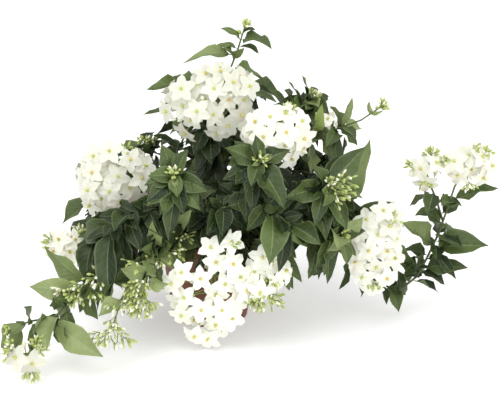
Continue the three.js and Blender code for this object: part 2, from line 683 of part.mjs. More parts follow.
// A head's core, and its stalk, which starts just off the shoot's tip
function headCore(head) {
  const { curve } = lines[head.shoot];
  const direction = curve.getTangent(1);
  const start = curve.getPoint(1).addScaledVector(direction, GAP);
  const middle = point(head.at);
  const [side, other] = across(direction);
  const [middleSide, middleOther] = across(middle.clone().sub(start).normalize());
  const foot = ring(start, side, other, HEAD_STALK_RADIUS, 5);
  const top = ring(start.clone().lerp(middle, 0.9), middleSide, middleOther, HEAD_STALK_RADIUS, 5);
  stand(head.name, toSolid(loft([foot, top, [middle]])));
  const core = new THREE.SphereGeometry(1, 8, 5).scale(...coreHalf(head)).translate(...head.at);
  stand(head.name, toSolid(core));
}

// Where a flower's or bud's stalk starts in the core, on the way from its place to the middle
function stalkRoot(head, place) {
  const offset = place.clone().sub(point(head.at));
  const [a, b, c] = coreHalf(head);
  const depth = Math.hypot(offset.x / a, offset.y / b, offset.z / c);
  return point(head.at).addScaledVector(offset, STALK_START / depth);
}

// Where a place seen from the front lies on a head's dome, at a share of its depth
function domePoint(head, right, up, share) {
  const [a, b, c] = head.half;
  const left = 1 - (right / (a + 6)) ** 2 - (up / (c + 6)) ** 2;
  const depth = b * Math.sqrt(Math.max(left, 0.05)) * share;
  return point(head.at).add(point([head.turned ? -right : right, head.turned ? depth : -depth, up]));
}

function domeNormal(head, place) {
  const [a, b, c] = head.half;
  const offset = place.clone().sub(point(head.at));
  return new THREE.Vector3(offset.x / (a * a), offset.y / (b * b), offset.z / (c * c)).normalize();
}

function standHead(head) {
  headCore(head);
  const look = point([0, head.turned ? 0.85 : -0.85, 0.4]);
  const places = head.flowers.map(([right, up], i) => domePoint(head, right, up, i % 2 ? 0.84 : 1.06));
  for (let i = 0; i < head.behind; i++) {
    const angle = 0.6 + (i * Math.PI * 0.8) / Math.max(head.behind - 1, 1);
    const [a, b, c] = head.half;
    const depth = (head.turned ? -0.7 : 0.7) * b;
    places.push(point(head.at).add(point([a * Math.cos(angle), depth, 0.8 * c * Math.sin(angle)])));
  }
  places.forEach((place, i) => standFirst(head.name, FLOWER_TRIES, (attempt) =>
    flowerSolid(headFlower(head, place, i, attempt, look))));
  head.buds.forEach(([right, up]) => {
    const tip = domePoint(head, right, up, 1.15);
    standFirst(head.name, 3, (attempt) => {
      const end = tip.clone().addScaledVector(look, 2 * attempt);
      return budSolid(stalkRoot(head, end), end, BUD_RADIUS);
    });
  });
}

function headFlower(head, place, index, attempt, look) {
  const draw = seededDraw(7919 * (index + 1) + HEADS.indexOf(head));
  const outward = domeNormal(head, place);
  const facing = outward.multiplyScalar(0.75).addScaledVector(look, 0.6);
  if (place.y > head.at[1] && !head.turned) facing.copy(domeNormal(head, place));
  facing.addScaledVector(place.clone().sub(stalkRoot(head, place)).normalize(), 0.4);
  facing.x += 0.7 * (draw() - 0.5);
  facing.z += 0.7 * (draw() - 0.5);
  facing.normalize();
  const shift = [0, 2.5, -2.5, 4.5, -4.5, 6, -6][attempt];
  const centre = place.clone().addScaledVector(facing, shift);
  return {
    centre, facing, root: stalkRoot(head, centre),
    radius: FLOWER_RADIUS * (0.9 + 0.14 * draw()),
    bend: 1 + 4.5 * draw() ** 2,
    turn: 2 * Math.PI * draw(),
  };
}

for (const head of HEADS) standHead(head);

// A leaf's upper side faces up, outward, towards its shoot's tip and, except at the back, to the light
// in front, square to the leaf
function faceDirection(chord, outward, direction) {
  const up = UP.clone().multiplyScalar(0.7).addScaledVector(outward, 0.45).addScaledVector(direction, 0.35);
  up.y -= outward.y < 0.4 ? FRONT_LIGHT : 0;
  up.addScaledVector(chord, -up.dot(chord));
  return up.length() > 0.15 ? up.normalize() : across(chord)[0];
}

function leafShape(root, tip, up, draw, width, rise, rows) {
  return {
    root, tip, up, width, rise, rows,
    roll: 0.5 * (draw() - 0.5), twist: 0.9 * (draw() - 0.5),
    fold: 0.18 + 0.25 * draw(), wave: 0.1 + 0.16 * draw(), waves: 1 + draw(), phase: draw(),
  };
}

// A hand-placed leaf; later tries shorten it a little or move its tip
function outlineLeaf([name, share, tip, width, rise], index, attempt) {
  const line = lines[name];
  const root = axisPoint(line, share);
  const draw = seededDraw(104729 + index);
  const end = point(tip);
  const shift = GOLDEN_ANGLE * attempt;
  const reach = Math.min(2 * attempt, 12);
  end.add(point([reach * Math.cos(shift), 0.5 * reach * Math.sin(shift), reach * Math.sin(shift)]));
  end.lerp(root, 0.015 * attempt);
  const chord = end.clone().sub(root).normalize();
  const outward = root.clone().sub(PLANT_MIDDLE).normalize();
  const up = faceDirection(chord, outward, line.curve.getTangent(share));
  return leafShape(root, end, up, draw, width, rise, LEAF_ROWS);
}

OUTLINE_LEAVES.forEach((entry, index) => {
  const { stem } = SHOOTS.find((shoot) => shoot.name === entry[0]);
  standFirst(stem, LEAF_TRIES, (attempt) => leafSolid(outlineLeaf(entry, index, attempt)));
});

// A leaf of a shoot, set by turns round it; later tries turn it on, shorten it and change its arch
function shootLeaf(shoot, number, index, attempt) {
  const draw = seededDraw(1009 * number + 31 * index);
  const line = lines[shoot.name];
  const share = shoot.bare + ((1 - shoot.bare) * (index + 0.5 + 0.4 * (draw() - 0.5))) / shoot.leaves;
  const root = axisPoint(line, share);
  const direction = line.curve.getTangent(share);
  const [side, other] = across(direction);
  const turn = index * GOLDEN_ANGLE + number + 0.45 * (attempt % 2 ? 1 : -1) * Math.ceil(attempt / 2);
  const outward = root.clone().sub(PLANT_MIDDLE).normalize();
  const reach = side.clone().multiplyScalar(Math.cos(turn)).addScaledVector(other, Math.sin(turn));
  reach.addScaledVector(direction, 0.35).addScaledVector(outward, 0.5).normalize();
  const grown = 0.72 + 0.38 * Math.sin(Math.PI * Math.min(1.25 * (1 - share) + 0.15, 1));
  const length = LEAF_LENGTH * shoot.size * grown * (0.88 + 0.28 * draw()) * (1 - 0.02 * attempt);
  const droop = 0.3 + 0.45 * draw() - 0.02 * attempt;
  const tip = root.clone().addScaledVector(reach, length);
  tip.z -= droop * length;
  const chord = tip.clone().sub(root).normalize();
  const up = faceDirection(chord, outward, direction);
  const width = (LEAF_WIDTH / LEAF_LENGTH) * length * (0.85 + 0.35 * draw());
  const rows = shoot.name.includes("back") ? SMALL_LEAF_ROWS : LEAF_ROWS;
  return leafShape(root, tip, up, draw, width, length * (0.12 + 0.16 * draw()), rows);
}

// A leaf of the rosette at a shoot's tip, spread like a star that faces along the shoot
function rosetteLeaf(shoot, number, index, attempt) {
  const draw = seededDraw(2003 * number + 17 * index);
  const line = lines[shoot.name];
  const share = 1 - (ROSETTE_STEP * index) / line.length;
  const root = axisPoint(line, share);
  const axis = line.curve.getTangent(1);
  const [side, other] = across(axis);
  const turn = index * GOLDEN_ANGLE + number + 0.2 * (attempt % 2 ? 1 : -1) * Math.ceil(attempt / 2);
  const reach = side.clone().multiplyScalar(Math.cos(turn)).addScaledVector(other, Math.sin(turn));
  const lift = ROSETTE_LIFT - 0.1 * index;
  reach.addScaledVector(axis, lift).normalize();
  const grown = (0.66 + 0.06 * index) * (0.9 + 0.2 * draw());
  const length = LEAF_LENGTH * shoot.size * grown * (1 - 0.02 * attempt);
  const tip = root.clone().addScaledVector(reach, length);
  const chord = tip.clone().sub(root).normalize();
  const up = axis.clone().addScaledVector(UP, 0.3);
  up.addScaledVector(chord, -up.dot(chord)).normalize();
  const width = 0.5 * length;
  return leafShape(root, tip, up, draw, width, length * 0.16, index < 3 ? SMALL_LEAF_ROWS : LEAF_ROWS);
}

const ROSETTE_LEAVES = 6;
const ROSETTE_STEP = 4;
const ROSETTE_LIFT = 0.55;
const TIP_BUDS = 3;
const SPRAY_BUDS = 4;

// Buds crowd the end of a shoot: upright round a bud tip, hanging on short stalks along a spray
function tipBud(shoot, number, index, count, attempt) {
  const draw = seededDraw(3001 * number + 13 * index);
  const line = lines[shoot.name];
  const spread = shoot.tip === "spray" ? 0.5 : 0.1;
  const share = 1 - (spread * index) / count;
  const root = axisPoint(line, share);
  const axis = line.curve.getTangent(share);
  const [side, other] = across(axis);
  const turn = index * GOLDEN_ANGLE + number + 0.5 * attempt;
  const reach = side.clone().multiplyScalar(Math.cos(turn)).addScaledVector(other, Math.sin(turn));
  reach.addScaledVector(axis, shoot.tip === "spray" ? 0.5 : 1).normalize();
  const stretch = shoot.tip === "spray" ? 1.7 : 1;
  const length = BUD_LENGTH * stretch * (0.8 + 0.5 * draw());
  return [root, root.clone().addScaledVector(reach, length), BUD_RADIUS * (0.75 + 0.3 * draw())];
}

SHOOTS.forEach((shoot, number) => {
  if (shoot.tip === "rosette") {
    for (let i = 0; i < ROSETTE_LEAVES; i++) {
      standFirst(shoot.stem, LEAF_TRIES, (attempt) => leafSolid(rosetteLeaf(shoot, number, i, attempt)));
    }
  }
  if (shoot.tip === "buds" || shoot.tip === "spray") {
    const count = shoot.tip === "spray" ? SPRAY_BUDS : TIP_BUDS;
    for (let i = 0; i < count; i++) {
      standFirst(shoot.stem, 4, (attempt) => budSolid(...tipBud(shoot, number, i, count, attempt)));
    }
  }
});

SHOOTS.forEach((shoot, number) => {
  for (let i = 0; i < shoot.leaves; i++) {
    standFirst(shoot.stem, LEAF_TRIES, (attempt) => leafSolid(shootLeaf(shoot, number, i, attempt)));
  }
});

const potMaterial = new THREE.MeshStandardMaterial({ color: 0x664836, roughness: 0.6, metalness: 0 });
const soilMaterial = new THREE.MeshStandardMaterial({ color: 0x2c211a, roughness: 1, metalness: 0 });
const leafMaterial = new THREE.MeshStandardMaterial({ color: 0x3f5530, roughness: 0.5, metalness: 0 });
const flowerMaterial = new THREE.MeshStandardMaterial({ color: 0xf6f5ec, roughness: 0.7, metalness: 0 });

function materialOf(node) {
  if (node === "pot") return potMaterial.clone();
  if (node === "soil") return soilMaterial.clone();
  return node.startsWith("head") ? flowerMaterial.clone() : leafMaterial.clone();
}

for (const node of new Set(standing.map((entry) => entry.node))) {
  const solids = standing.filter((entry) => entry.node === node).map((entry) => entry.solid);
  const joined = wasm.Manifold.union(solids);
  const mesh = new THREE.Mesh(toGeometry(joined), materialOf(node));
  mesh.name = node;
  plant.add(mesh);
}

export default plant;
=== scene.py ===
import math
from collections import defaultdict, namedtuple

import bmesh
import bpy
from mathutils import Matrix, Vector, kdtree, noise


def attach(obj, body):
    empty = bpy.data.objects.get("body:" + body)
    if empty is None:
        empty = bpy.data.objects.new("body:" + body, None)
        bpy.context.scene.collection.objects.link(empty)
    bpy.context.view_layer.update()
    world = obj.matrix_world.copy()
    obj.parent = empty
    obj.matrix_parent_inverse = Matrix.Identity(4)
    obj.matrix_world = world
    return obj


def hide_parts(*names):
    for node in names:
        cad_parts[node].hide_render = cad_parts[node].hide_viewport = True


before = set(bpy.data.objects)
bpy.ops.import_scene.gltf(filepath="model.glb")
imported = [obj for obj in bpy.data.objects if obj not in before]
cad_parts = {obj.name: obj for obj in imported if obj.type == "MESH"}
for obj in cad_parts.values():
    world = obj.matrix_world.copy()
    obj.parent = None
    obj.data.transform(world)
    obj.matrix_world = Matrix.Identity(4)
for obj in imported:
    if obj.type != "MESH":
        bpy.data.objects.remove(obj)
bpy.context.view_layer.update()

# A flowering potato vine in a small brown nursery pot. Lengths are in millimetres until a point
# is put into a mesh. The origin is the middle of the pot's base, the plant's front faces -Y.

MM = 0.001
UP = Vector((0, 0, 1))
FRONT = Vector((0, -1, 0))
GOLDEN_ANGLE = math.radians(137.5)
TURN = 2 * math.pi

RIM_RADIUS = 52.5
BASE_RADIUS = 38
POT_HEIGHT = 90
WALL = 1.5
FLOOR = 2
RIM_BAND_HEIGHT = 13
RIM_BAND_DEPTH = 1.6
DRAIN_HOLES = 4
DRAIN_RADIUS = 4
DRAIN_CIRCLE = 24
DRAIN_SIDES = 16
POT_SIDES = 80
SOIL_TOP = 80
SOIL_MOUND = 2.5
SOIL_SIDES = 64
LUMP_HEIGHT = 2.2
LUMP_CIRCLE = 52
CRUMBS = 110
CRUMB_CIRCLE = 44
GAP = 0.3

STEM_RADIUS = 1.6
STEM_TIP_RADIUS = 0.7
FOOT_RISE = 6
LONG_SPAN = 34
TIP_MARGIN = 2.5
HOLE_DEPTH = 12
LEAF_LENGTH = 46
LEAF_WIDTH = 23
LEAF_THICKNESS = 1.4
STALK_SHARE = 0.15
STALK_HALF_WIDTH = 1.1
FLOWER_RADIUS = 12.8
PETALS = 5
NOTCH_SHARE = 0.58
STAMEN_LENGTH = 3.4
CORE_INSET = 11
STALK_START = 0.75
BACK_HEADS_FROM = 50
BUD_LENGTH = 8
BUD_RADIUS = 2
PLANT_MIDDLE = Vector((0, 0, 110))
FRONT_LIGHT = 0.6
LEAF_TRIES = 16
FLOWER_TRIES = 7
ROSETTE_LEAVES = 6
ROSETTE_STEP = 4
ROSETTE_LIFT = 0.55
TIP_BUDS = 3
SPRAY_BUDS = 4

Shoot = namedtuple("Shoot", "name start leaves bare size shade spacing tip path")
Head = namedtuple("Head", "name shoot at half behind clusters shade flowers buds")
Line = namedtuple("Line", "points shares length")
Leaf = namedtuple("Leaf", "root tip up width rise roll twist fold wave waves phase")
Flower = namedtuple("Flower", "centre facing root radius bend turn")
Bud = namedtuple("Bud", "root tip radius")

# Each shoot: where it starts, which is a foot in the soil or a share of another shoot's length, how
# many large leaves it has, the bare share at its foot, its leaves' size and shade (0 is dark and old, 1
# pale and young; it is also painted shade, dark on shoots inside the plant, and painted light, pale on
# outer and hanging ones), how many millimetres of it each small leaf has, what its tip bears and its path
SHOOTS = [Shoot(*row) for row in (
    ("top", (4, 12), 4, 0.35, 0.85, 0.46, 6, "buds",
     ((8, 16, 140), (10, 16, 200), (18, 13, 245), (29, 12, 274), (36, 10, 298))),
    ("top_left", ("top", 0.42), 2, 0.2, 0.8, 0.46, 3, "leaves",
     ((-8, 20, 196), (-18, 16, 224), (-22, 8, 245))),
    ("top_back", ("top", 0.5), 2, 0.2, 0.85, 0.12, 3, "leaves", ((20, 36, 215), (36, 44, 236))),
    ("crown_right", (20, 14), 5, 0.3, 0.8, 0.36, 3, "rosette",
     ((36, 22, 140), (64, 26, 184), (86, 24, 210), (102, 18, 222))),
    ("bud_shoot", ("crown_right", 0.45), 3, 0.1, 0.6, 0.7, 6, "buds",
     ((92, 12, 182), (124, 3, 195), (150, -3, 207), (169, -5, 221))),
    ("rosette_left", (-14, -22), 5, 0.3, 0.9, 0.38, 3, "rosette",
     ((-20, -46, 124), (-27, -66, 164), (-30, -88, 178))),
    ("front_left", ("rosette_left", 0.45), 6, 0.1, 0.95, 0.12, 3, "leaves",
     ((-50, -66, 138), (-76, -78, 134), (-96, -82, 118))),
    ("between", ("rosette_left", 0.35), 6, 0.15, 0.75, 0.08, 3, "leaves",
     ((-4, -60, 126), (8, -72, 138), (18, -78, 144))),
    ("rosette_middle", (12, -22), 5, 0.3, 0.95, 0.29, 3, "rosette",
     ((24, -46, 130), (42, -66, 178), (50, -88, 192))),
    ("front_low", ("rosette_middle", 0.42), 6, 0.05, 0.95, 0.18, 5, "leaves",
     ((48, -74, 146), (66, -86, 140), (84, -90, 126))),
    ("rosette_right", (27, -15), 5, 0.25, 0.95, 0.3, 3, "rosette",
     ((60, -38, 122), (98, -54, 154), (116, -76, 163))),
    ("rosette_low", ("rosette_right", 0.5), 2, 0.15, 0.9, 0.52, 3, "rosette",
     ((108, -60, 116), (128, -76, 112))),
    ("beside_pot", ("rosette_right", 0.35), 2, 0.1, 0.6, 0.7, 3, "spray",
     ((66, -56, 104), (66, -72, 86), (54, -85, 58))),
    ("left_high", (-24, -4), 2, 0.3, 0.95, 0.12, 3, "head",
     ((-44, -6, 126), (-64, -6, 142), (-72, -12, 148))),
    ("left_shoulder", ("left_high", 0.5), 5, 0.1, 0.85, 0.12, 3, "leaves",
     ((-52, 14, 150), (-60, 24, 164), (-66, 30, 172))),
    ("left_low", (-35, -12), 4, 0.3, 0.85, 0.42, 3, "head",
     ((-62, -16, 106), (-96, -16, 98), (-118, -18, 90))),
    ("left_dark", ("left_low", 0.45), 5, 0.05, 1, 0.1, 3, "leaves", ((-84, -44, 112), (-112, -62, 104))),
    ("trailing_left", (-30, -27), 2, 0.4, 0.8, 0.64, 8, "head",
     ((-46, -44, 106), (-80, -74, 92), (-114, -100, 72), (-142, -126, 52), (-164, -148, 28))),
    ("trailing_side", ("trailing_left", 0.84), 1, 0.1, 0.7, 0.7, 9, "buds",
     ((-166, -134, 50), (-184, -146, 46))),
    ("hanging_buds", (-18, -34), 2, 0.25, 0.6, 0.86, 8, "spray",
     ((-34, -56, 104), (-54, -82, 98), (-76, -110, 74), (-88, -132, 44))),
    ("hanging_buds_left", ("hanging_buds", 0.62), 1, 0.1, 0.7, 0.78, 8, "spray",
     ((-82, -92, 86), (-104, -98, 82), (-122, -102, 72))),
    ("hanging_buds_right", ("hanging_buds", 0.6), 1, 0.1, 0.6, 0.84, 9, "spray",
     ((-56, -98, 84), (-60, -110, 66))),
    ("crown_head", ("top", 0.38), 1, 0.1, 0.9, 0.12, 3, "head",
     ((4, 4, 180), (1, -4, 198), (0, -10, 210))),
    ("middle_head", ("rosette_middle", 0.4), 3, 0.1, 0.9, 0.12, 3, "head",
     ((36, -38, 160), (50, -38, 178), (57, -40, 190))),
    ("low_head", (6, -36), 3, 0.3, 0.9, 0.12, 3, "head", ((4, -56, 112), (12, -68, 112), (16, -76, 104))),
    ("low_right_head", ("low_head", 0.4), 2, 0.1, 0.75, 0.12, 3, "head",
     ((24, -62, 110), (38, -68, 104), (45, -72, 94))),
    ("right_head", (40, -8), 6, 0.25, 1, 0.42, 3, "head",
     ((70, -12, 116), (104, -20, 128), (138, -28, 118), (150, -32, 108))),
    ("trailing_right", (38, 8), 5, 0.3, 0.75, 0.38, 8, "head",
     ((62, 8, 108), (100, 6, 90), (140, 2, 60), (170, 0, 34), (194, -2, 25), (211, -1, 40), (221, 1, 60),
      (232, 3, 86), (240, 5, 112), (246, 6, 134))),
    ("trailing_right_top", ("trailing_right", 0.86), 0, 0.2, 0.6, 0.5, 9, "head",
     ((228, 4, 122), (221, 4, 138))),
    ("back_left", (-22, 18), 2, 0.2, 1, 0.12, 3, "rosette",
     ((-50, 40, 126), (-80, 58, 134), (-104, 70, 128))),
    ("back_left_low", ("back_left", 0.5), 2, 0.1, 1, 0.12, 3, "leaves",
     ((-84, 66, 124), (-108, 82, 96), (-120, 92, 66))),
    ("back_head", ("back_left", 0.4), 2, 0.1, 0.95, 0.12, 3, "head",
     ((-34, 60, 154), (-22, 80, 174), (-17, 88, 186))),
    ("back_middle", (8, 34), 2, 0.25, 1, 0.12, 3, "rosette",
     ((12, 66, 140), (18, 96, 160), (22, 116, 160))),
    ("back_hanging", ("back_middle", 0.45), 2, 0.1, 1.05, 0.12, 3, "leaves",
     ((0, 98, 124), (-10, 122, 96), (-14, 132, 60))),
    ("back_right", (24, 26), 2, 0.25, 0.95, 0.12, 3, "head",
     ((54, 52, 140), (82, 68, 156), (94, 74, 162))),
    ("back_right_low", ("back_right", 0.45), 2, 0.1, 1, 0.12, 3, "leaves",
     ((84, 76, 128), (106, 94, 104), (120, 102, 74))),
    ("right_back", ("back_right", 0.35), 3, 0.1, 1, 0.12, 3, "rosette",
     ((70, 40, 136), (108, 32, 142), (134, 28, 138))),
    ("left_back", ("left_low", 0.35), 4, 0.1, 0.75, 0.12, 3, "leaves",
     ((-74, 6, 112), (-98, 20, 106), (-116, 28, 88))),
)]

# A stem is named after its shoot with the foot, apart from these
STEM_NAMES = {"rosette_left": "front_left", "rosette_middle": "front_middle",
              "rosette_right": "front_right", "left_low": "left"}

# Leaves in the outline: their place on a shoot, then their tip, width and rise
OUTLINE_LEAVES = [(name, *row) for name, *rows in (
    ("top", (0.8, -26, 2, 262, 15, 14), (0.9, 12, 6, 297, 9, 7), (0.84, 6, 14, 276, 9, 6),
     (0.86, 50, 8, 271, 9, 5), (0.95, 47, 10, 294, 7, 5), (0.72, 56, 8, 242, 22, 9),
     (0.6, 24, -6, 222, 20, 8)),
    ("top_left", (0.9, -60, -4, 238, 15, 7), (0.5, -64, -12, 215, 17, 5)),
    ("left_shoulder", (0.6, -58, -2, 180, 16, 6)),
    ("crown_right", (0.74, 58, 18, 232, 15, 8), (0.84, 78, 14, 242, 14, 8)),
    ("top", (0.62, 68, 6, 222, 24, 8)),
    ("crown_right", (0.75, 74, 4, 236, 22, 8), (0.9, 120, 12, 208, 17, 9), (0.8, 94, 0, 192, 20, 6)),
    ("bud_shoot", (0.55, 141, -2, 231, 11, 6), (0.3, 112, 4, 222, 14, 6)),
    ("rosette_right", (0.97, 151, -50, 195, 24, 5), (0.85, 150, -62, 146, 24, 8)),
    ("right_head", (0.72, 157, -34, 198, 24, 5), (0.85, 184, -26, 130, 15, 7)),
    ("front_low", (0.3, 78, -100, 128, 20, 6)),
    ("beside_pot", (0.6, 40, -98, 62, 17, 6), (0.85, 34, -94, 44, 14, 6)),
    ("rosette_left", (0.85, -56, -100, 152, 17, 5)),
    ("front_left", (0.8, -72, -96, 74, 22, 10)),
    ("hanging_buds", (0.36, -13, -86, 146, 14, 8), (0.52, -51, -98, 138, 14, 6)),
    ("hanging_buds_right", (0.5, -82, -106, 92, 18, 4), (0.7, -36, -106, 76, 14, 4)),
    ("trailing_left", (0.66, -156, -92, 99, 20, 8), (0.7, -168, -112, 76, 23, 9),
     (0.86, -94, -166, 28, 26, 8)),
    ("trailing_side", (0.6, -190, -160, 34, 18, 10)),
    ("trailing_right", (0.76, 282, -8, 76, 30, 5), (0.5, 168, -14, 66, 22, 6),
     (0.84, 212, -12, 116, 24, 6), (0.94, 292, 4, 134, 14, 5), (0.77, 192, -10, 102, 24, 6),
     (0.68, 262, -8, 52, 20, 5), (0.6, 180, -8, 84, 20, 8)),
) for row in rows]

# Each head: the shoot that bears it, its middle, its half sizes, how many flowers it has behind and how
# many bud clusters at its edge, how much painted shade greys its petals, and the places of its flowers
# and buds, to the right of its middle and up
HEADS = [Head(name, shoot, Vector(at), *rest) for name, shoot, at, *rest in (
    ("head_crown", "crown_head", (3, -26, 237), (38, 26, 32), 2, 1, 1.0,
     ((10, 30), (-4, 29), (21, 20), (-13, 18), (4, 16), (28, 23), (36, 14), (32, 2), (-27, 14), (-35, 2),
      (-39, -9), (-25, -3), (-12, -6), (18, 3), (4, -10), (-18, -17), (17, -22), (6, -32), (-25, -34),
      (-4, 4), (30, -12)),
     ((-8, 8), (22, 10), (-38, 12), (-32, -22))),
    ("head_middle", "middle_head", (66, -58, 212), (28, 20, 26), 2, 1, 0.6,
     ((-6, 20), (-20, 14), (-25, 2), (8, 22), (-12, 2), (24, 14), (9, 6), (8, -8), (26, -2), (26, -13),
      (16, -25), (-6, -13)),
     ((2, -18), (30, -20))),
    ("head_left", "left_high", (-92, -30, 158), (33, 24, 34), 2, 1, 0.9,
     ((-2, 31), (-18, 25), (18, 23), (-3, 18), (-19, 11), (5, 7), (-29, 7), (28, 3), (-9, 2), (32, 14),
      (-2, -6), (17, -6), (-20, -6), (-11, -17), (6, -19), (22, -19), (-6, -31), (-22, -24)),
     ((32, 14), (-32, 18), (12, -30))),
    ("head_far_left", "left_low", (-140, -22, 84), (16, 14, 12), 1, 5, 0.5,
     ((-8, 9), (8, 8), (-14, -4), (2, -5), (14, -6)),
     ((-18, 6), (4, 14), (-8, -13))),
    ("head_trailing_left", "trailing_left", (-167, -155, 23), (16, 10, 12), 0, 8, 1.0,
     ((-9, 4), (6, -3)),
     ((-18, 12), (18, 8), (-20, -2), (14, 14), (-2, 18), (-12, -10), (2, -14))),
    ("head_low", "low_head", (4, -90, 72), (38, 14, 56), 0, 1, 0.3,
     ((20, 44), (0, 38), (5, 25), (19, 22), (-28, 14), (-9, 8), (-36, 2), (28, 8), (14, 2), (4, -10),
      (-26, -12), (25, -16), (10, -22), (-10, -24), (-28, -30), (-17, -38), (20, -34), (4, -42),
      (-15, -50), (10, -52), (-4, -58), (-34, -20), (34, -6)),
     ((8, 59), (19, 56), (-30, -40))),
    ("head_low_right", "low_right_head", (51, -86, 78), (17, 12, 18), 0, 1, 0.3,
     ((-7, 7), (10, 12), (2, 20), (14, -8), (0, -10), (20, 4)),
     ((-12, -14), (10, -20))),
    ("head_right", "right_head", (162, -46, 92), (26, 18, 44), 2, 4, 0.6,
     ((8, 40), (20, 36), (-8, 32), (14, 24), (-16, 18), (2, 16), (22, 12), (-24, 6), (-6, 2), (12, 0),
      (-18, -12), (22, -10), (2, -16), (-10, -28), (12, -28), (0, -42)),
     ((28, 24), (-24, -18), (12, -42))),
    ("head_far_right", "trailing_right", (257, 4, 158), (21, 13, 17), 2, 5, 0.7,
     ((-14, 8), (0, 14), (14, 12), (22, 2), (-10, -7), (4, -2), (16, -10)),
     ((-16, 8), (22, 16), (4, 22))),
    ("head_small_right", "trailing_right_top", (216, 2, 156), (11, 9, 9), 1, 4, 0.7,
     ((-6, 2), (8, 6), (0, -8)),
     ((-10, 9), (2, 13), (12, -2))),
    ("head_back_left", "back_head", (-14, 98, 204), (22, 18, 20), 2, 1, 0.3,
     ((-12, 12), (8, 16), (20, 4), (0, 2), (-18, -4), (10, -12), (-6, -14)),
     ((-18, 12), (16, 16), (4, 20))),
    ("head_back_right", "back_right", (104, 84, 176), (20, 16, 18), 2, 1, 0.3,
     ((-10, 11), (9, 13), (18, 0), (-1, 0), (-17, -3), (6, -12)),
     ((-16, 12), (16, 12), (2, 18))),
)]


# Drawing the plant again from its measures

def seeded_draw(seed):
    state = seed & 0xFFFFFFFF

    def draw():
        nonlocal state
        state = (state + 0x6D2B79F5) & 0xFFFFFFFF
        mixed = ((state ^ (state >> 15)) * (state | 1)) & 0xFFFFFFFF
        mixed ^= (mixed + (mixed ^ (mixed >> 7)) * (mixed | 61)) & 0xFFFFFFFF
        return (mixed ^ (mixed >> 14)) / 4294967296

    return draw


def across(direction):
    helper = Vector((1, 0, 0)) if abs(direction.z) > 0.9 else UP
    side = helper.cross(direction).normalized()
    return side, direction.cross(side)


def spoke(axis, angle):
    """The direction square to an axis that stands at an angle round it."""
    side, other = across(axis)
    return math.cos(angle) * side + math.sin(angle) * other


def on_curve(points, share):
    """A point of the smooth curve through the points of a shoot."""
    spans = len(points) - 1
    span = min(int(share * spans), spans - 1)
    weight = share * spans - span
    start, end = points[span], points[span + 1]
    before = points[span - 1] if span > 0 else 2 * points[0] - points[1]
    after = points[span + 2] if span + 2 <= spans else 2 * points[-1] - points[-2]
    slope_from = 0.5 * (end - before)
    slope_to = 0.5 * (after - start)
    curved = -3 * start + 3 * end - 2 * slope_from - slope_to
    tight = 2 * start - 2 * end + slope_from + slope_to
    return start + slope_from * weight + curved * weight ** 2 + tight * weight ** 3


def heading(line, share):
    ahead = on_curve(line.points, min(share + 0.0001, 1))
    return (ahead - on_curve(line.points, max(share - 0.0001, 0))).normalized()


def on_axis(line, wanted):
    """A place on the straight run between two rings of a stem, kept inside the stem's tip."""
    share = min(wanted, 1 - TIP_MARGIN / line.length)
    after = next(i for i, value in enumerate(line.shares) if value > share)
    low, high = line.shares[after - 1], line.shares[after]
    run = on_curve(line.points, low)
    return run.lerp(on_curve(line.points, high), (share - low) / (high - low))


def rooted(shoot):
    return not isinstance(shoot.start[0], str)


def shoot_line(shoot):
    points = [Vector(place) for place in shoot.path]
    if rooted(shoot):
        x, y = shoot.start
        points[:0] = [Vector((x, y, SOIL_TOP - HOLE_DEPTH + GAP)), Vector((x, y, SOIL_TOP + FOOT_RISE))]
    else:
        points.insert(0, on_axis(LINES[shoot.start[0]], shoot.start[1]))
    spans = [(end - start).length for start, end in zip(points, points[1:])]
    shares = []
    for index, span in enumerate(spans):
        shares.append(index / len(spans))
        if span > LONG_SPAN and (index > 0 or not rooted(shoot)):
            shares.append((index + 0.5) / len(spans))
    return Line(points, shares + [1], sum(spans))


LINES = {}
STEM_OF = {}
for shoot in SHOOTS:
    LINES[shoot.name] = shoot_line(shoot)
    own_stem = "stem_" + STEM_NAMES.get(shoot.name, shoot.name)
    STEM_OF[shoot.name] = STEM_OF.get(shoot.start[0], own_stem)
NAMED = {shoot.name: shoot for shoot in SHOOTS}


def on_shoot(shoot, share):
    """A place on a shoot's axis, and the way the shoot heads there."""
    line = LINES[shoot.name]
    return on_axis(line, share), heading(line, share)


def unit_sum(*weighted):
    total = Vector()
    for weight, direction in weighted:
        total += weight * direction
    return total.normalized()


def outward_from(place):
    return (place - PLANT_MIDDLE).normalized()


def face_direction(root, tip, direction):
    """Where a leaf's face looks: up, outwards and along its shoot, and at the front to the light."""
    chord = (tip - root).normalized()
    outward = outward_from(root)
    up = 0.7 * UP + 0.45 * outward + 0.35 * direction
    if outward.y < 0.4:
        up.y -= FRONT_LIGHT
    up -= up.dot(chord) * chord
    return up.normalized() if up.length > 0.15 else across(chord)[0]


def drawn_leaf(root, tip, up, draw, width, rise):
    roll = 0.5 * (draw() - 0.5)
    twist = 0.9 * (draw() - 0.5)
    fold = 0.18 + 0.25 * draw()
    wave = 0.1 + 0.16 * draw()
    waves = 1 + draw()
    return Leaf(root, tip, up, width, rise, roll, twist, fold, wave, waves, draw())


def outline_leaf(entry, index, attempt):
    name, share, x, y, z, width, rise = entry
    root, direction = on_shoot(NAMED[name], share)
    shift = GOLDEN_ANGLE * attempt
    aside = Vector((math.cos(shift), 0.5 * math.sin(shift), math.sin(shift)))
    tip = (Vector((x, y, z)) + min(2 * attempt, 12) * aside).lerp(root, 0.015 * attempt)
    up = face_direction(root, tip, direction)
    return drawn_leaf(root, tip, up, seeded_draw(104729 + index), width, rise)


def alternate(step, attempt):
    return step * (1 if attempt % 2 else -1) * math.ceil(attempt / 2)


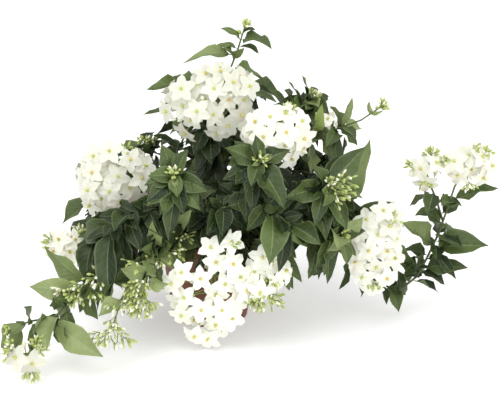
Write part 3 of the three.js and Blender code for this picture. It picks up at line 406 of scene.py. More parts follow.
def shoot_leaf(shoot, number, index, attempt):
    draw = seeded_draw(1009 * number + 31 * index)
    share = shoot.bare + (1 - shoot.bare) * (index + 0.5 + 0.4 * (draw() - 0.5)) / shoot.leaves
    root, direction = on_shoot(shoot, share)
    turn = index * GOLDEN_ANGLE + number + alternate(0.45, attempt)
    reach = unit_sum((1, spoke(direction, turn)), (0.35, direction), (0.5, outward_from(root)))
    grown = 0.72 + 0.38 * math.sin(math.pi * min(1.25 * (1 - share) + 0.15, 1))
    length = LEAF_LENGTH * shoot.size * grown * (0.88 + 0.28 * draw()) * (1 - 0.02 * attempt)
    tip = root + length * reach - (0.3 + 0.45 * draw() - 0.02 * attempt) * length * UP
    up = face_direction(root, tip, direction)
    width = LEAF_WIDTH / LEAF_LENGTH * length * (0.85 + 0.35 * draw())
    return drawn_leaf(root, tip, up, draw, width, length * (0.12 + 0.16 * draw()))


def rosette_leaf(shoot, number, index, attempt):
    draw = seeded_draw(2003 * number + 17 * index)
    line = LINES[shoot.name]
    root = on_axis(line, 1 - ROSETTE_STEP * index / line.length)
    axis = heading(line, 1)
    turn = index * GOLDEN_ANGLE + number + alternate(0.2, attempt)
    reach = unit_sum((1, spoke(axis, turn)), (ROSETTE_LIFT - 0.1 * index, axis))
    grown = (0.66 + 0.06 * index) * (0.9 + 0.2 * draw())
    length = LEAF_LENGTH * shoot.size * grown * (1 - 0.02 * attempt)
    up = axis + 0.3 * UP
    up = (up - up.dot(reach) * reach).normalized()
    return drawn_leaf(root, root + length * reach, up, draw, 0.5 * length, 0.16 * length)


def tip_bud(shoot, number, index, count, attempt):
    draw = seeded_draw(3001 * number + 13 * index)
    spray = shoot.tip == "spray"
    share = 1 - (0.5 if spray else 0.1) * index / count
    root, axis = on_shoot(shoot, share)
    turn = index * GOLDEN_ANGLE + number + 0.5 * attempt
    reach = unit_sum((1, spoke(axis, turn)), (0.5 if spray else 1, axis))
    length = BUD_LENGTH * (1.7 if spray else 1) * (0.8 + 0.5 * draw())
    return Bud(root, root + length * reach, BUD_RADIUS * (0.75 + 0.3 * draw()))


def core_half(head):
    a, b, c = head.half
    return max(a - CORE_INSET, 5), max(0.5 * b, 5), max(c - CORE_INSET, 5)


def at_the_back(head):
    return head.at.y > BACK_HEADS_FROM


def stalk_root(head, place):
    offset = place - head.at
    depth = Vector([o / h for o, h in zip(offset, core_half(head))]).length
    return head.at + offset * STALK_START / depth


def dome_point(head, right, up, share):
    a, b, c = head.half
    left = 1 - (right / (a + 6)) ** 2 - (up / (c + 6)) ** 2
    depth = b * math.sqrt(max(left, 0.05)) * share
    facing = -1 if at_the_back(head) else 1
    return head.at + Vector((facing * right, -facing * depth, up))


def dome_normal(head, place):
    return Vector([o / h ** 2 for o, h in zip(place - head.at, head.half)]).normalized()


def head_look(head):
    return Vector((0, 0.85 if at_the_back(head) else -0.85, 0.4))


def flower_places(head):
    places = [dome_point(head, right, up, 0.84 if i % 2 else 1.06)
              for i, (right, up) in enumerate(head.flowers)]
    a, b, c = head.half
    for i in range(head.behind):
        angle = 0.6 + i * math.pi * 0.8 / max(head.behind - 1, 1)
        depth = (-0.7 if at_the_back(head) else 0.7) * b
        places.append(head.at + Vector((a * math.cos(angle), depth, 0.8 * c * math.sin(angle))))
    return places


def head_flower(head, place, index, attempt):
    draw = seeded_draw(7919 * (index + 1) + HEADS.index(head))
    facing = 0.75 * dome_normal(head, place) + 0.6 * head_look(head)
    if place.y > head.at.y and not at_the_back(head):
        facing = dome_normal(head, place)
    facing += 0.4 * (place - stalk_root(head, place)).normalized()
    facing.x += 0.7 * (draw() - 0.5)
    facing.z += 0.7 * (draw() - 0.5)
    facing.normalize()
    centre = place + (0, 2.5, -2.5, 4.5, -4.5, 6, -6)[attempt] * facing
    radius = FLOWER_RADIUS * (0.9 + 0.14 * draw())
    bend = 1 + 4.5 * draw() ** 2
    return Flower(centre, facing, stalk_root(head, centre), radius, bend, TURN * draw())


def past_stalk(v):
    return max(v - STALK_SHARE, 0) / (1 - STALK_SHARE)


def on_leaf(leaf, u, v, face, half, stalk, lift, thick):
    """u runs -1 to 1 across the blade and v 0 to 1 from root to tip; face is 1 above, -1 below."""
    middle = leaf.root.lerp(leaf.tip, 0.45) + leaf.rise * leaf.up
    w = 1 - v
    spine = w * w * leaf.root + 2 * w * v * middle + v * v * leaf.tip
    along = (w * (middle - leaf.root) + v * (leaf.tip - middle)).normalized()
    side = Matrix.Rotation(leaf.roll + leaf.twist * v, 3, along) @ along.cross(leaf.up).normalized()
    half = max(half, stalk * w if 0 < v < 1 else 0)
    raised = half * lift if STALK_SHARE < v < 1 else 0
    thickness = thick * (1 - abs(u)) * math.sqrt(max(math.sin(math.pi * math.sqrt(v)), 0))
    return spine + u * half * side + (raised + face * thickness / 2) * side.cross(along)


def leaf_wave(leaf, u, v):
    return math.sin(TURN * (leaf.waves * v + leaf.phase + (0.25 if u > 0 else 0)))


def leaf_point(leaf, u, v):
    """A place on the upper face of a leaf as the model has it."""
    half = max(math.sin(math.pi * past_stalk(v) ** 0.72), 0) ** 0.85 * leaf.width / 2
    lift = abs(u) * (leaf.fold + leaf.wave * leaf_wave(leaf, u, v))
    return on_leaf(leaf, u, v, 1, half, STALK_HALF_WIDTH, lift, LEAF_THICKNESS)


# Which of its variations each leaf, flower and bud took: the one whose points the model has
SAME_POINT = 0.05
corner_trees = {}
for node, cad_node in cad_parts.items():
    tree = kdtree.KDTree(len(cad_node.data.vertices))
    for vertex in cad_node.data.vertices:
        tree.insert(vertex.co / MM, vertex.index)
    tree.balance()
    corner_trees[node] = tree


def leaf_marks(leaf):
    rows = [(u, v) for v in (STALK_SHARE, 0.42, 0.5, 0.72) for u in (-1, 0, 1)]
    return [leaf.tip] + [leaf_point(leaf, u, v) for u, v in rows]


def flower_marks(flower):
    marks = [flower.centre + STAMEN_LENGTH * flower.facing]
    for i in range(2 * PETALS):
        reach, back = (flower.radius * NOTCH_SHARE, 0) if i % 2 else (flower.radius, flower.bend)
        star = spoke(flower.facing, flower.turn + math.pi * i / PETALS)
        marks.append(flower.centre + reach * star - back * flower.facing)
    return marks


def bud_marks(bud):
    direction = (bud.tip - bud.root).normalized()
    belly = bud.root.lerp(bud.tip, 0.72)
    return [bud.tip] + [belly + bud.radius * spoke(direction, TURN * i / 4) for i in range(4)]


def as_stood(node, tries, variation, marks, needed):
    """The variation that stands in the model, or none where the piece was left out."""
    best, most = None, needed - 1
    for attempt in range(tries):
        shape = variation(attempt)
        met = sum(corner_trees[node].find(mark)[2] < SAME_POINT for mark in marks(shape))
        if met > most:
            best, most = shape, met
    return best


leaves = defaultdict(list)
buds = defaultdict(list)
flowers = defaultdict(list)


def put(kept, node, shape):
    if shape:
        kept[node].append(shape)


def shade_of(shoot, draw):
    """A leaf's shade of green: that of its shoot, with a pale leaf here and there as a painted highlight.
    """
    return min(shoot.shade + 0.2 * (draw() - 0.5) + 0.4 * draw() ** 5, 1)


def put_leaf(shoot, variation, seed):
    """Keeps a leaf as it stood, with its shade of green."""
    stem = STEM_OF[shoot.name]
    leaf = as_stood(stem, LEAF_TRIES, variation, leaf_marks, 3)
    if leaf:
        leaves[stem].append((leaf, shade_of(shoot, seeded_draw(seed))))


for head in HEADS:
    for i, place in enumerate(flower_places(head)):
        put(flowers, head.name, as_stood(head.name, FLOWER_TRIES,
            lambda attempt: head_flower(head, place, i, attempt), flower_marks, 3))
    for right, up in head.buds:
        end = dome_point(head, right, up, 1.15)

        def closed_bud(attempt):
            tip = end + 2 * attempt * head_look(head)
            return Bud(stalk_root(head, tip), tip, BUD_RADIUS)

        put(buds, head.name, as_stood(head.name, 3, closed_bud, bud_marks, 2) or closed_bud(0))

for index, entry in enumerate(OUTLINE_LEAVES):
    put_leaf(NAMED[entry[0]], lambda attempt: outline_leaf(entry, index, attempt), 601 + index)

for number, shoot in enumerate(SHOOTS):
    if shoot.tip == "rosette":
        for i in range(ROSETTE_LEAVES):
            put_leaf(shoot, lambda attempt: rosette_leaf(shoot, number, i, attempt), 701 * i + number)
    if shoot.tip in ("buds", "spray"):
        count = SPRAY_BUDS if shoot.tip == "spray" else TIP_BUDS
        stem = STEM_OF[shoot.name]
        for i in range(count):
            put(buds, stem, as_stood(stem, 4, lambda attempt: tip_bud(shoot, number, i, count, attempt),
                                     bud_marks, 2))
    for i in range(shoot.leaves):
        put_leaf(shoot, lambda attempt: shoot_leaf(shoot, number, i, attempt), 809 * i + number)


# Finishes. An Amount is a number that changes over a surface; sums on it add Math nodes.

class Amount:
    def __init__(self, finish, socket):
        self.finish = finish
        self.socket = socket

    def reckon(self, operation, *terms):
        return self.finish.add("ShaderNodeMath", {"operation": operation}, dict(enumerate(terms)))

    def __add__(self, other):
        return self.reckon("ADD", self, other)

    def __sub__(self, other):
        return self.reckon("SUBTRACT", self, other)

    def __rsub__(self, other):
        return self.reckon("SUBTRACT", other, self)

    def __mul__(self, other):
        return self.reckon("MULTIPLY", self, other)

    def __abs__(self):
        return self.reckon("ABSOLUTE", self)

    def __mod__(self, other):
        return self.reckon("FLOORED_MODULO", self, other)

    __radd__ = __add__
    __rmul__ = __mul__


class Finish:
    """A surface finish: one shader, fed by what varies over the piece."""

    def __init__(self, name, **steady):
        self.material = bpy.data.materials.new(name)
        self.material.use_nodes = True
        self.tree = self.material.node_tree
        self.shader = self.tree.nodes["Principled BSDF"]
        for socket, value in steady.items():
            self.feed(self.shader.inputs[socket.replace("_", " ")], value)

    def add(self, kind, settings=None, inputs=None, output=0):
        node = self.tree.nodes.new(kind)
        for name, value in (settings or {}).items():
            setattr(node, name, value)
        for name, value in (inputs or {}).items():
            self.feed(node.inputs[name], value)
        return Amount(self, node.outputs[output])

    def feed(self, socket, value):
        """Gives a socket an Amount, a number or a colour; three parts of 255 are made linear first."""
        if isinstance(value, Amount):
            self.tree.links.new(value.socket, socket)
            return
        if isinstance(value, tuple) and len(value) == 3:
            value = (*[((part / 255 + 0.055) / 1.055) ** 2.4 for part in value], 1)
        socket.default_value = value

    def shape_places(self):
        """How far round the shape a place is, and how far along it."""
        places = self.add("ShaderNodeUVMap", {"uv_map": "UVMap"})
        split = self.add("ShaderNodeSeparateXYZ", None, {0: places})
        return split, Amount(self, split.socket.node.outputs[1])

    def tone(self):
        return self.add("ShaderNodeAttribute", {"attribute_name": "tone"}, None, 2)

    def patches(self, size, detail=2.0, roughness=0.5):
        """Uneven patches of about a size in millimetres."""
        place = self.add("ShaderNodeTexCoord", None, None, 3)
        inputs = {"Vector": place, "Scale": 1000 / size, "Detail": detail, "Roughness": roughness}
        return self.add("ShaderNodeTexNoise", None, inputs)

    def step(self, amount, low, high):
        inputs = {0: amount, 1: low, 2: high}
        return self.add("ShaderNodeMapRange", {"interpolation_type": "SMOOTHSTEP"}, inputs)

    def blend(self, amount, first, second):
        return self.add("ShaderNodeMix", {"data_type": "RGBA"}, {0: amount, 6: first, 7: second}, 2)

    def relief(self, height, depth):
        inputs = {"Height": height, "Distance": depth * MM}
        self.feed(self.shader.inputs["Normal"], self.add("ShaderNodeBump", None, inputs))

    def paint(self, colour, roughness):
        self.feed(self.shader.inputs["Base Color"], colour)
        self.feed(self.shader.inputs["Roughness"], roughness)


SIDE_VEINS = 9
VEIN_SLANT = 1.7
PETAL_STREAKS = 55


def leaf_finish(name, deep, fresh, pale, young, vein_and_highlight, gloss, puff):
    finish = Finish(name, Specular_IOR_Level=0.36)
    x, along = finish.shape_places()
    rim = abs(1 - abs(x * 4 - 2))
    midrib = 1 - finish.step(rim, 0.02, 0.1)
    branch = abs((along * SIDE_VEINS - rim * VEIN_SLANT) % 1 * 2 - 1)
    side_veins = finish.step(branch, 0.8, 1.0) * (1 - rim * 0.6)
    mottle = finish.patches(7, 3)
    shade = finish.tone()
    # painted light: the half of each leaf on one side of its midrib is painted lighter, as if the folded
    # leaf were lit from that side
    lit_half = finish.step(x, 0.24, 0.26) - finish.step(x, 0.74, 0.76)
    # the tone is partly the leaf's own and partly painted shade and light: leaves inside the plant get the
    # deep green, outer ones the pale greens
    grown = finish.blend(shade * 1.3 + mottle * 0.4 + lit_half * 0.22 - 0.31, deep, fresh)
    pale_by_tone_and_light = finish.step(shade, 0.5, 0.75) * (0.4 + lit_half * 0.25 + mottle * 0.6)
    light = finish.blend(pale_by_tone_and_light, grown, pale)
    green = finish.blend(finish.step(shade, 0.84, 1.0), light, young)
    # the pale leaf margin is partly the leaf's own paler edge and partly a painted highlight, like the
    # light that curled edges catch
    veins_and_margin_highlight = midrib * 0.24 + side_veins * 0.07 + finish.step(rim, 0.8, 1.0) * 0.2
    finish.paint(finish.blend(veins_and_margin_highlight, green, vein_and_highlight), gloss + mottle * 0.2 + midrib * 0.1)
    finish.relief(puff * (branch * 0.45 + midrib * 0.4) + finish.patches(1.6) * 0.3, 0.5)
    return finish


def petal_finish():
    # painted light: the petals glow a little, as if light shone through them
    finish = Finish("petal_white", Specular_IOR_Level=0.25, Subsurface_Weight=0.12,
                    Subsurface_Scale=0.002, Emission_Color=(255, 254, 240), Emission_Strength=0.13)
    x, outward = finish.shape_places()
    lobe = abs(x * PETALS % 1 * 2 - 1)
    crease = finish.step(lobe, 0.82, 1.0) * (1 - finish.step(outward, 0.6, 1.0))
    throat = 1 - finish.step(outward, 0.08, 0.34)
    shade = finish.patches(6, 2)
    # painted shade: the petals run from white to grey by the painted shade in the tone, with patches
    white = finish.blend(finish.tone() + shade * 0.3 - 0.15, (250, 249, 238), (206, 206, 192))
    creased = finish.blend(crease * 0.35, white, (196, 200, 178))
    finish.paint(finish.blend(throat * 0.5, creased, (206, 216, 150)), 0.5 + shade * 0.2)
    streaks = abs(x * PETAL_STREAKS % 1 * 2 - 1)
    finish.relief(streaks * 0.2 - crease * 0.8 + shade * 0.3, 0.2)
    return finish


def anther_finish():
    finish = Finish("anther_yellow", Specular_IOR_Level=0.4)
    x, along = finish.shape_places()
    groove = 1 - finish.step(abs(x * PETALS % 1 * 2 - 1), 0.0, 0.5)
    warm = finish.blend(finish.step(finish.patches(14, 1), 0.55, 0.68), (206, 208, 116), (232, 190, 104))
    tipped = finish.blend(finish.step(along, 0.7, 1.0) * 0.5, warm, (190, 196, 96))
    finish.paint(finish.blend(groove * 0.4, tipped, (204, 176, 84)), 0.5 + finish.patches(1) * 0.2)
    finish.relief(finish.patches(0.6), 0.15)
    return finish


def skin_finish(name, low, high, other, patch=3.0):
    """Green skin of stalks and buds, paler towards the tip, with patches of another colour."""
    finish = Finish(name, Specular_IOR_Level=0.4)
    along = finish.shape_places()[1]
    mottle = finish.patches(patch, 3)
    grown = finish.blend(along * 0.7 + finish.tone() * 0.5 - 0.1, low, high)
    finish.paint(finish.blend(finish.step(mottle, 0.5, 0.75) * 0.5, grown, other), 0.5 + mottle * 0.2)
    finish.relief(finish.patches(0.9, 3), 0.25)
    return finish


def pot_finish():
    finish = Finish("pot_brown", Specular_IOR_Level=0.45)
    along = finish.shape_places()[1]
    cloud = finish.patches(16, 4)
    grain = finish.patches(0.7, 2)
    brown = finish.blend(cloud, (104, 62, 42), (132, 84, 60))
    dust = finish.step(cloud * 0.5 + grain * 0.5, 0.52, 0.72) * 0.35
    dusty = finish.blend(dust, brown, (160, 128, 104))
    # painted shade: the pot is darker towards its foot
    painted_foot_shade = finish.step(along, 0.5, 1.0) * 0.1
    finish.paint(finish.blend(painted_foot_shade, dusty, (70, 44, 30)), 0.48 + cloud * 0.25)
    finish.relief(grain * 0.6 + cloud * 0.4, 0.2)
    return finish


def soil_finish(name, dark, light):
    finish = Finish(name, Specular_IOR_Level=0.2)
    lumps = finish.patches(4, 4, 0.6)
    fibres = finish.patches(1.2, 3, 0.7)
    earth = finish.blend(finish.step(lumps * 0.6 + fibres * 0.4, 0.4, 0.62), dark, light)
    finish.paint(earth, 0.85 + fibres * 0.12)
    finish.relief(lumps + fibres * 0.6, 1.4)
    return finish


LEAF_TOP = leaf_finish("leaf_green", (28, 45, 18), (100, 119, 62), (148, 161, 108), (154, 173, 94),
                       (172, 184, 138), 0.38, 1.0)
LEAF_UNDER = leaf_finish("leaf_underside", (84, 102, 60), (126, 142, 86), (158, 170, 114), (166, 182, 106),
                         (170, 182, 134), 0.6, -1.0)
STEM_SKIN = skin_finish("stem_skin", (70, 80, 46), (106, 122, 68), (84, 66, 50))
STALK_SKIN = skin_finish("stalk_green", (136, 154, 90), (168, 184, 114), (150, 140, 96), 4)
YOUNG_SKIN = skin_finish("young_bud", (148, 168, 92), (194, 204, 126), (214, 216, 160), 4)
BUD_SKIN = skin_finish("white_bud", (226, 230, 186), (252, 250, 238), (240, 238, 214))
PETAL = petal_finish()
ANTHER = anther_finish()
POT_BROWN = pot_finish()
SOIL_EARTH = soil_finish("soil_earth", (34, 25, 19), (78, 58, 43))
SOIL_BARK = soil_finish("soil_bark", (66, 44, 30), (116, 84, 58))


# Shapes. Each starts as a grid that is drawn over the shape and closed where its points meet.

def new_shape():
    shape = bmesh.new()
    shape.loops.layers.uv.new("UVMap")
    shape.verts.layers.float.new("tone")
    return shape


bit_mesh = bpy.data.meshes.new("bit")
RIM_ANGLE = math.radians(110)
SAME_PLACE = 1e-7


def wrap(whole, columns, steps, place, finish, tone=0.5, blade=False):
    """place(turn, step) gives each point; turn runs 0 to 1 round the shape, step through steps.
    A blade has its two faces split alike, so that they never cross where it waves."""
    rows = len(steps) - 1
    shape = new_shape()
    made = bmesh.ops.create_grid(shape, x_segments=columns, y_segments=rows, size=1)["verts"]
    if blade:
        for way, face_side in (("FIXED", -1), ("ALTERNATE", 1)):
            half = [face for face in shape.faces if face.calc_center_median().x * face_side > 0]
            bmesh.ops.triangulate(shape, faces=half, quad_method=way)
    uv = shape.loops.layers.uv.active
    shade = shape.verts.layers.float["tone"]
    at = {v: ((v.co.x + 1) / 2, steps[round((v.co.y + 1) / 2 * rows)]) for v in made}
    for face in shape.faces:
        for loop in face.loops:
            loop[uv].uv = at[loop.vert]
        face.smooth = True
        corners = [at[vertex] for vertex in face.verts]
        face.material_index = finish(*[sum(pair) / len(corners) for pair in zip(*corners)])
    for vertex, (turn, step) in at.items():
        vertex.co = place(turn, step) * MM
        vertex[shade] = tone
    bmesh.ops.remove_doubles(shape, verts=made, dist=SAME_PLACE)
    bmesh.ops.recalc_face_normals(shape, faces=shape.faces[:])
    for edge in shape.edges:
        edge.smooth = edge.calc_face_angle(0) < RIM_ANGLE
    shape.to_mesh(bit_mesh)
    shape.free()
    whole.from_mesh(bit_mesh)


def tube(shape, path, radii, sides, finish, tone=0.5):
    """A round stalk through the points of a path, closed at both ends."""
    side = across((path[1] - path[0]).normalized())[0]
    rings = [(path[0], side, side, 0)]
    for i, (centre, radius) in enumerate(zip(path, radii)):
        direction = (path[min(i + 1, len(path) - 1)] - path[max(i - 1, 0)]).normalized()
        side = (side - side.dot(direction) * direction).normalized()
        rings.append((centre, side, direction.cross(side), radius))
    rings.append((path[-1], side, side, 0))
    last = len(rings) - 1

    def place(turn, step):
        centre, side, other, radius = rings[round(step * last)]
        return centre + radius * (math.cos(TURN * turn) * side + math.sin(TURN * turn) * other)

    wrap(shape, sides, [i / last for i in range(last + 1)], place, lambda turn, step: finish, tone)


def rounded(shape, root, tip, radii, sides, finish, tone=0.5):
    """A body of revolution from root to tip, its radii evenly spaced along it."""
    path = [root.lerp(tip, (i + 0.5) / len(radii)) for i in range(len(radii))]
    path[0] = root.lerp(tip, 0.04)
    path[-1] = root.lerp(tip, 0.94)
    tube(shape, path, radii, sides, finish, tone)


LEAF_STEPS = (0, 0.13, 0.18, 0.27, 0.38, 0.5, 0.62, 0.74, 0.86, 0.95, 1)
SMALL_LEAF_STEPS = (0, 0.14, 0.22, 0.42, 0.66, 0.86, 1)
BLADE_THICKNESS = 0.5
STALK_THICKNESS = 1.2
STALK_SLIMMING = 0.85
BLADE_FOLD = 1.35
BLADE_WAVE = 2.1
RUFFLE = 0.14


def blade_point(leaf, turn, v):
    """A leaf in its fine shape: rounded at its foot, drawn out at its tip, with drooping wavy edges."""
    face = 1 if turn <= 0.5 else -1
    u = 1 - abs(4 * turn - 2)
    s = past_stalk(v)
    half = max(math.sin(math.pi * s ** 0.74), 0) ** (0.55 + 0.6 * s) * leaf.width / 2
    ruffle = math.sin(TURN * (2.6 * v + 3 * leaf.phase + (0.4 if u > 0 else 0)))
    droop = BLADE_FOLD * leaf.fold + BLADE_WAVE * leaf.wave * leaf_wave(leaf, u, v)
    lift = abs(u) ** 1.3 * droop + RUFFLE * u * u * ruffle
    thick = STALK_THICKNESS if v <= STALK_SHARE else BLADE_THICKNESS
    return on_leaf(leaf, u, v, face, half, STALK_SLIMMING * STALK_HALF_WIDTH, lift, thick)


TOP, UNDER, SKIN, YOUNG, STALK_GREEN, WHITE_BUD = range(6)


def leaf_part(turn, step):
    if step < STALK_SHARE:
        return SKIN
    return TOP if turn < 0.5 else UNDER


def add_leaf(shape, leaf, tone, columns=8, steps=LEAF_STEPS):
    wrap(shape, columns, steps, lambda turn, v: blade_point(leaf, turn, v), leaf_part, tone, True)


def add_stem(shape, shoot):
    line = LINES[shoot.name]
    base = STEM_RADIUS if rooted(shoot) else STEM_TIP_RADIUS + 0.4
    tip = STEM_TIP_RADIUS + (0.3 if shoot.tip == "head" else 0)
    path = [on_curve(line.points, share) for share in line.shares]
    tube(shape, path, [base + (tip - base) * share for share in line.shares], 8, SKIN, 0.3)


SMALL_LEAF_LENGTHS = (21, 36)
LEAFLESS_FOOT = 0.22
LEAVES_END = {"buds": 0.6, "spray": 0.6, "head": 0.85, "leaves": 0.94, "rosette": 0.94}
ABOVE_GROUND = 16


def small_leaves(shoot, number):
    """The small leaves between the large ones, which fill the plant's middle."""
    draw = seeded_draw(52711 + 97 * number)
    count = round(LINES[shoot.name].length / shoot.spacing)
    first = LEAFLESS_FOOT if rooted(shoot) else 0.04
    shortest, longest = SMALL_LEAF_LENGTHS
    for index in range(count):
        share = first + (LEAVES_END[shoot.tip] - first) * (index + draw()) / count
        root, direction = on_shoot(shoot, share)
        turn = index * GOLDEN_ANGLE + 2.1 * number + draw()
        inward = -0.5 if index % 2 else 0.3
        reach = unit_sum((1, spoke(direction, turn)), (0.4, direction), (inward, outward_from(root)),
                         (0.2, FRONT))
        length = shortest + (longest - shortest) * draw()
        tip = root + length * reach - (0.1 + 0.75 * draw()) * length * UP
        up = face_direction(root, tip, direction)
        leaf = drawn_leaf(root, tip, up, draw, length * (0.46 + 0.14 * draw()), length * 0.14)
        if tip.z > ABOVE_GROUND:
            # painted shade: the small leaves in the plant's middle are darker than the large leaves of
            # their shoot
            yield leaf, max(0.9 * shade_of(shoot, draw) - 0.22, 0)


def placed(name, data):
    thing = bpy.data.objects.new(name, data)
    bpy.context.scene.collection.objects.link(thing)
    return thing


def meshed(name, shape, *finishes):
    mesh = bpy.data.meshes.new(name)
    shape.to_mesh(mesh)
    shape.free()
    for finish in finishes:
        mesh.materials.append(finish.material)
    return placed(name, mesh)


def finished(piece, node):
    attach(piece, "root")
    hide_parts(node)


def build_stem(stem):
    shape = new_shape()
    draw = seeded_draw(sum(map(ord, stem)))
    for number, shoot in enumerate(SHOOTS):
        if STEM_OF[shoot.name] == stem:
            add_stem(shape, shoot)
            for leaf, tone in small_leaves(shoot, number):
                add_leaf(shape, leaf, tone, 4, SMALL_LEAF_STEPS)
            add_tip(shape, shoot, draw)
    for leaf, tone in leaves[stem]:
        add_leaf(shape, leaf, tone)
    for bud in buds[stem]:
        swell = bud.radius
        radii = (0.35, 0.4, 0.75 * swell, swell, 0.8 * swell, 0.3)
        rounded(shape, bud.root, bud.tip, radii, 6, YOUNG, 0.6)
    finished(meshed(stem.replace("stem", "shoots"), shape, LEAF_TOP, LEAF_UNDER, STEM_SKIN, YOUNG_SKIN,
                    STALK_SKIN, BUD_SKIN), stem)


TIP_CLUSTERS = 3
SPRAY_CLUSTERS = 10
YOUNG_LEAVES = 4
BUDS_A_BRANCH = 3
WHITE_FROM = 0.72


def add_cyme(shape, root, way, size, count, draw, parts=(STALK_GREEN, YOUNG, WHITE_BUD)):
    """A forked cluster of closed buds on thin stalks, which opens along a direction."""
    stalk, green, white = parts
    fork = root + 0.35 * size * way
    tube(shape, [root, root.lerp(fork, 0.5), fork], (0.65, 0.6, 0.5), 5, stalk)
    for index in range(count):
        if index % BUDS_A_BRANCH == 0:
            star = spoke(way, index * GOLDEN_ANGLE + draw())
            branch = unit_sum((1, way), (0.85, star), (-0.1, UP))
            knot = fork + size * (0.25 + 0.15 * draw()) * branch
            tube(shape, [fork, knot], (0.5, 0.45), 4, stalk, 0.7)
        star = spoke(way, index * TURN / BUDS_A_BRANCH + draw())
        aim = unit_sum((1, branch), (0.75, star), (-0.15, UP))
        neck = knot + size * (0.1 + 0.14 * draw()) * aim
        length = 5 + 3 * draw()
        tip = neck + length * unit_sum((1, aim), (0.3, way), (-0.2, UP))
        swell = 1.1 + 0.6 * draw()
        tube(shape, [knot, neck], (0.4, 0.45), 4, stalk, 0.8)
        part = green if draw() <= WHITE_FROM else white
        rounded(shape, neck, tip, (0.6, 0.75 * swell, swell, 0.4), 5, part, draw())


# Bud clusters beside a shoot's tip: the share of its length, then their direction and size
SIDE_CYMES = {
    "rosette_right": ((0.98, (1, -0.9, 0.5), 34), (0.94, (1, -0.9, -0.4), 34), (0.9, (1, -0.8, 0.1), 40)),
    "left_shoulder": ((0.95, (0.5, -0.7, 0.4), 13), (0.9, (-0.2, -0.7, 0.6), 12)),
    "beside_pot": ((0.8, (1, -0.6, 0.1), 22),),
    "hanging_buds": ((0.34, (-0.2, -1, 0.3), 30), (0.4, (0.7, -1, 0.1), 30), (0.5, (0.9, -1, -0.4), 30)),
}


def add_young_leaves(shape, end, way, draw):
    """The narrow young leaves that stand round the buds in the middle of a rosette."""
    for index in range(YOUNG_LEAVES):
        out = spoke(way, index * GOLDEN_ANGLE + TURN * draw())
        length = 11 + 6 * draw()
        tip = end + length * unit_sum((0.8, way), (1, out))
        leaf = drawn_leaf(end, tip, unit_sum((1, way), (-0.6, out)), draw, 0.36 * length, 0.1 * length)
        add_leaf(shape, leaf, 0.6 + 0.2 * draw(), 4, SMALL_LEAF_STEPS)


def add_tip(shape, shoot, draw):
    """Bud clusters at the end of a shoot: upright in a rosette or tip, hanging along a spray."""
    end, way = on_shoot(shoot, 1)
    if shoot.tip == "rosette":
        add_cyme(shape, end, unit_sum((1, way), (0.6, UP)), 9, 11, draw)
        add_cyme(shape, end, unit_sum((1, way), (0.5, Vector((draw() - 0.5, -0.6, 0)))), 8, 7, draw)
        add_young_leaves(shape, end, way, draw)
    if shoot.tip == "buds":
        for _ in range(TIP_CLUSTERS):
            aside = Vector((draw() - 0.5, draw() - 0.5, draw() - 0.5))
            add_cyme(shape, end, unit_sum((1, way), (1.2, aside)), 6, 6, draw)
    if shoot.tip == "spray":
        for index in range(SPRAY_CLUSTERS):
            root = on_shoot(shoot, 1 - 0.09 * max(index - 4, 0))[0]
            aside = Vector((1.4 * draw() - 0.7, -0.7 * draw() - 0.2, 1.1 * draw() - 0.8))
            add_cyme(shape, root, unit_sum((0.6, way), (1.3, aside)), 20 + 10 * draw(), 9, draw)
    for share, aim, size in SIDE_CYMES.get(shoot.name, ()):
        add_cyme(shape, on_shoot(shoot, share)[0], Vector(aim).normalized(), size, 10, draw)


# Flowers. The last petal step stands for the point behind a star that closes it.

PETAL_STEPS = (0, 0.5, 1, 2)
PETAL_REACH = 1.16
PETAL_PUFF = 1.3
PETAL_SWAY = 1.5
CONE_OUTLINE = ((-0.5, 0), (0.2, 1.65), (2.7, 1.4), (STAMEN_LENGTH + 0.6, 0))
KNOT_SHARES = (-0.75, -0.25, 0.25, 0.75)
FEWEST_INNER_BUDS = 4
STAR, CONE, STALK, CLOSED, HALF_GROWN = range(5)


def star_point(flower, turn, step):
    if step > 1:
        return flower.centre - 0.9 * flower.facing
    lobe = abs(1 - 2 * (PETALS * turn % 1))
    reach = PETAL_REACH * flower.radius * step * (NOTCH_SHARE + (1 - NOTCH_SHARE) * lobe ** 0.95)
    sway = math.sin(2 * TURN * turn + 9 * flower.bend) + 0.6 * math.sin(TURN * turn + 5 * flower.turn)
    rise = step * math.sin(math.pi * lobe) * PETAL_PUFF - 0.4 * (1 - step)
    rise += step * step * lobe * (PETAL_SWAY * sway - flower.bend)
    return flower.centre + reach * spoke(flower.facing, flower.turn + TURN * turn) + rise * flower.facing


def add_flower(shape, flower, knot, tone):
    wrap(shape, 4 * PETALS, PETAL_STEPS, lambda turn, step: star_point(flower, turn, step),
         lambda turn, step: STAR, tone)

    def cone_point(turn, step):
        height, radius = CONE_OUTLINE[round(step * 3)]
        groove = 1 if round(turn * 2 * PETALS) % 2 else 0.72
        way = spoke(flower.facing, flower.turn + TURN * turn)
        return flower.centre + radius * groove * way + height * flower.facing

    wrap(shape, 2 * PETALS, (0, 1 / 3, 2 / 3, 1), cone_point, lambda turn, step: CONE, tone)
    bend = flower.root.lerp(knot, 0.2) - 1.5 * UP
    path = [knot, bend] + [flower.centre - depth * flower.facing for depth in (6, 2.2, 0.6)]
    tube(shape, path, (0.6, 0.5, 0.5, 1.1, 1.9), 5, STALK, tone)


def nearest(knots, place):
    return min(knots, key=lambda knot: (knot - place).length)


def head_knots(head):
    """Places on the head's branching stalk where the flower stalks start."""
    reach = core_half(head)[2]
    return [head.at + share * reach * UP for share in KNOT_SHARES]


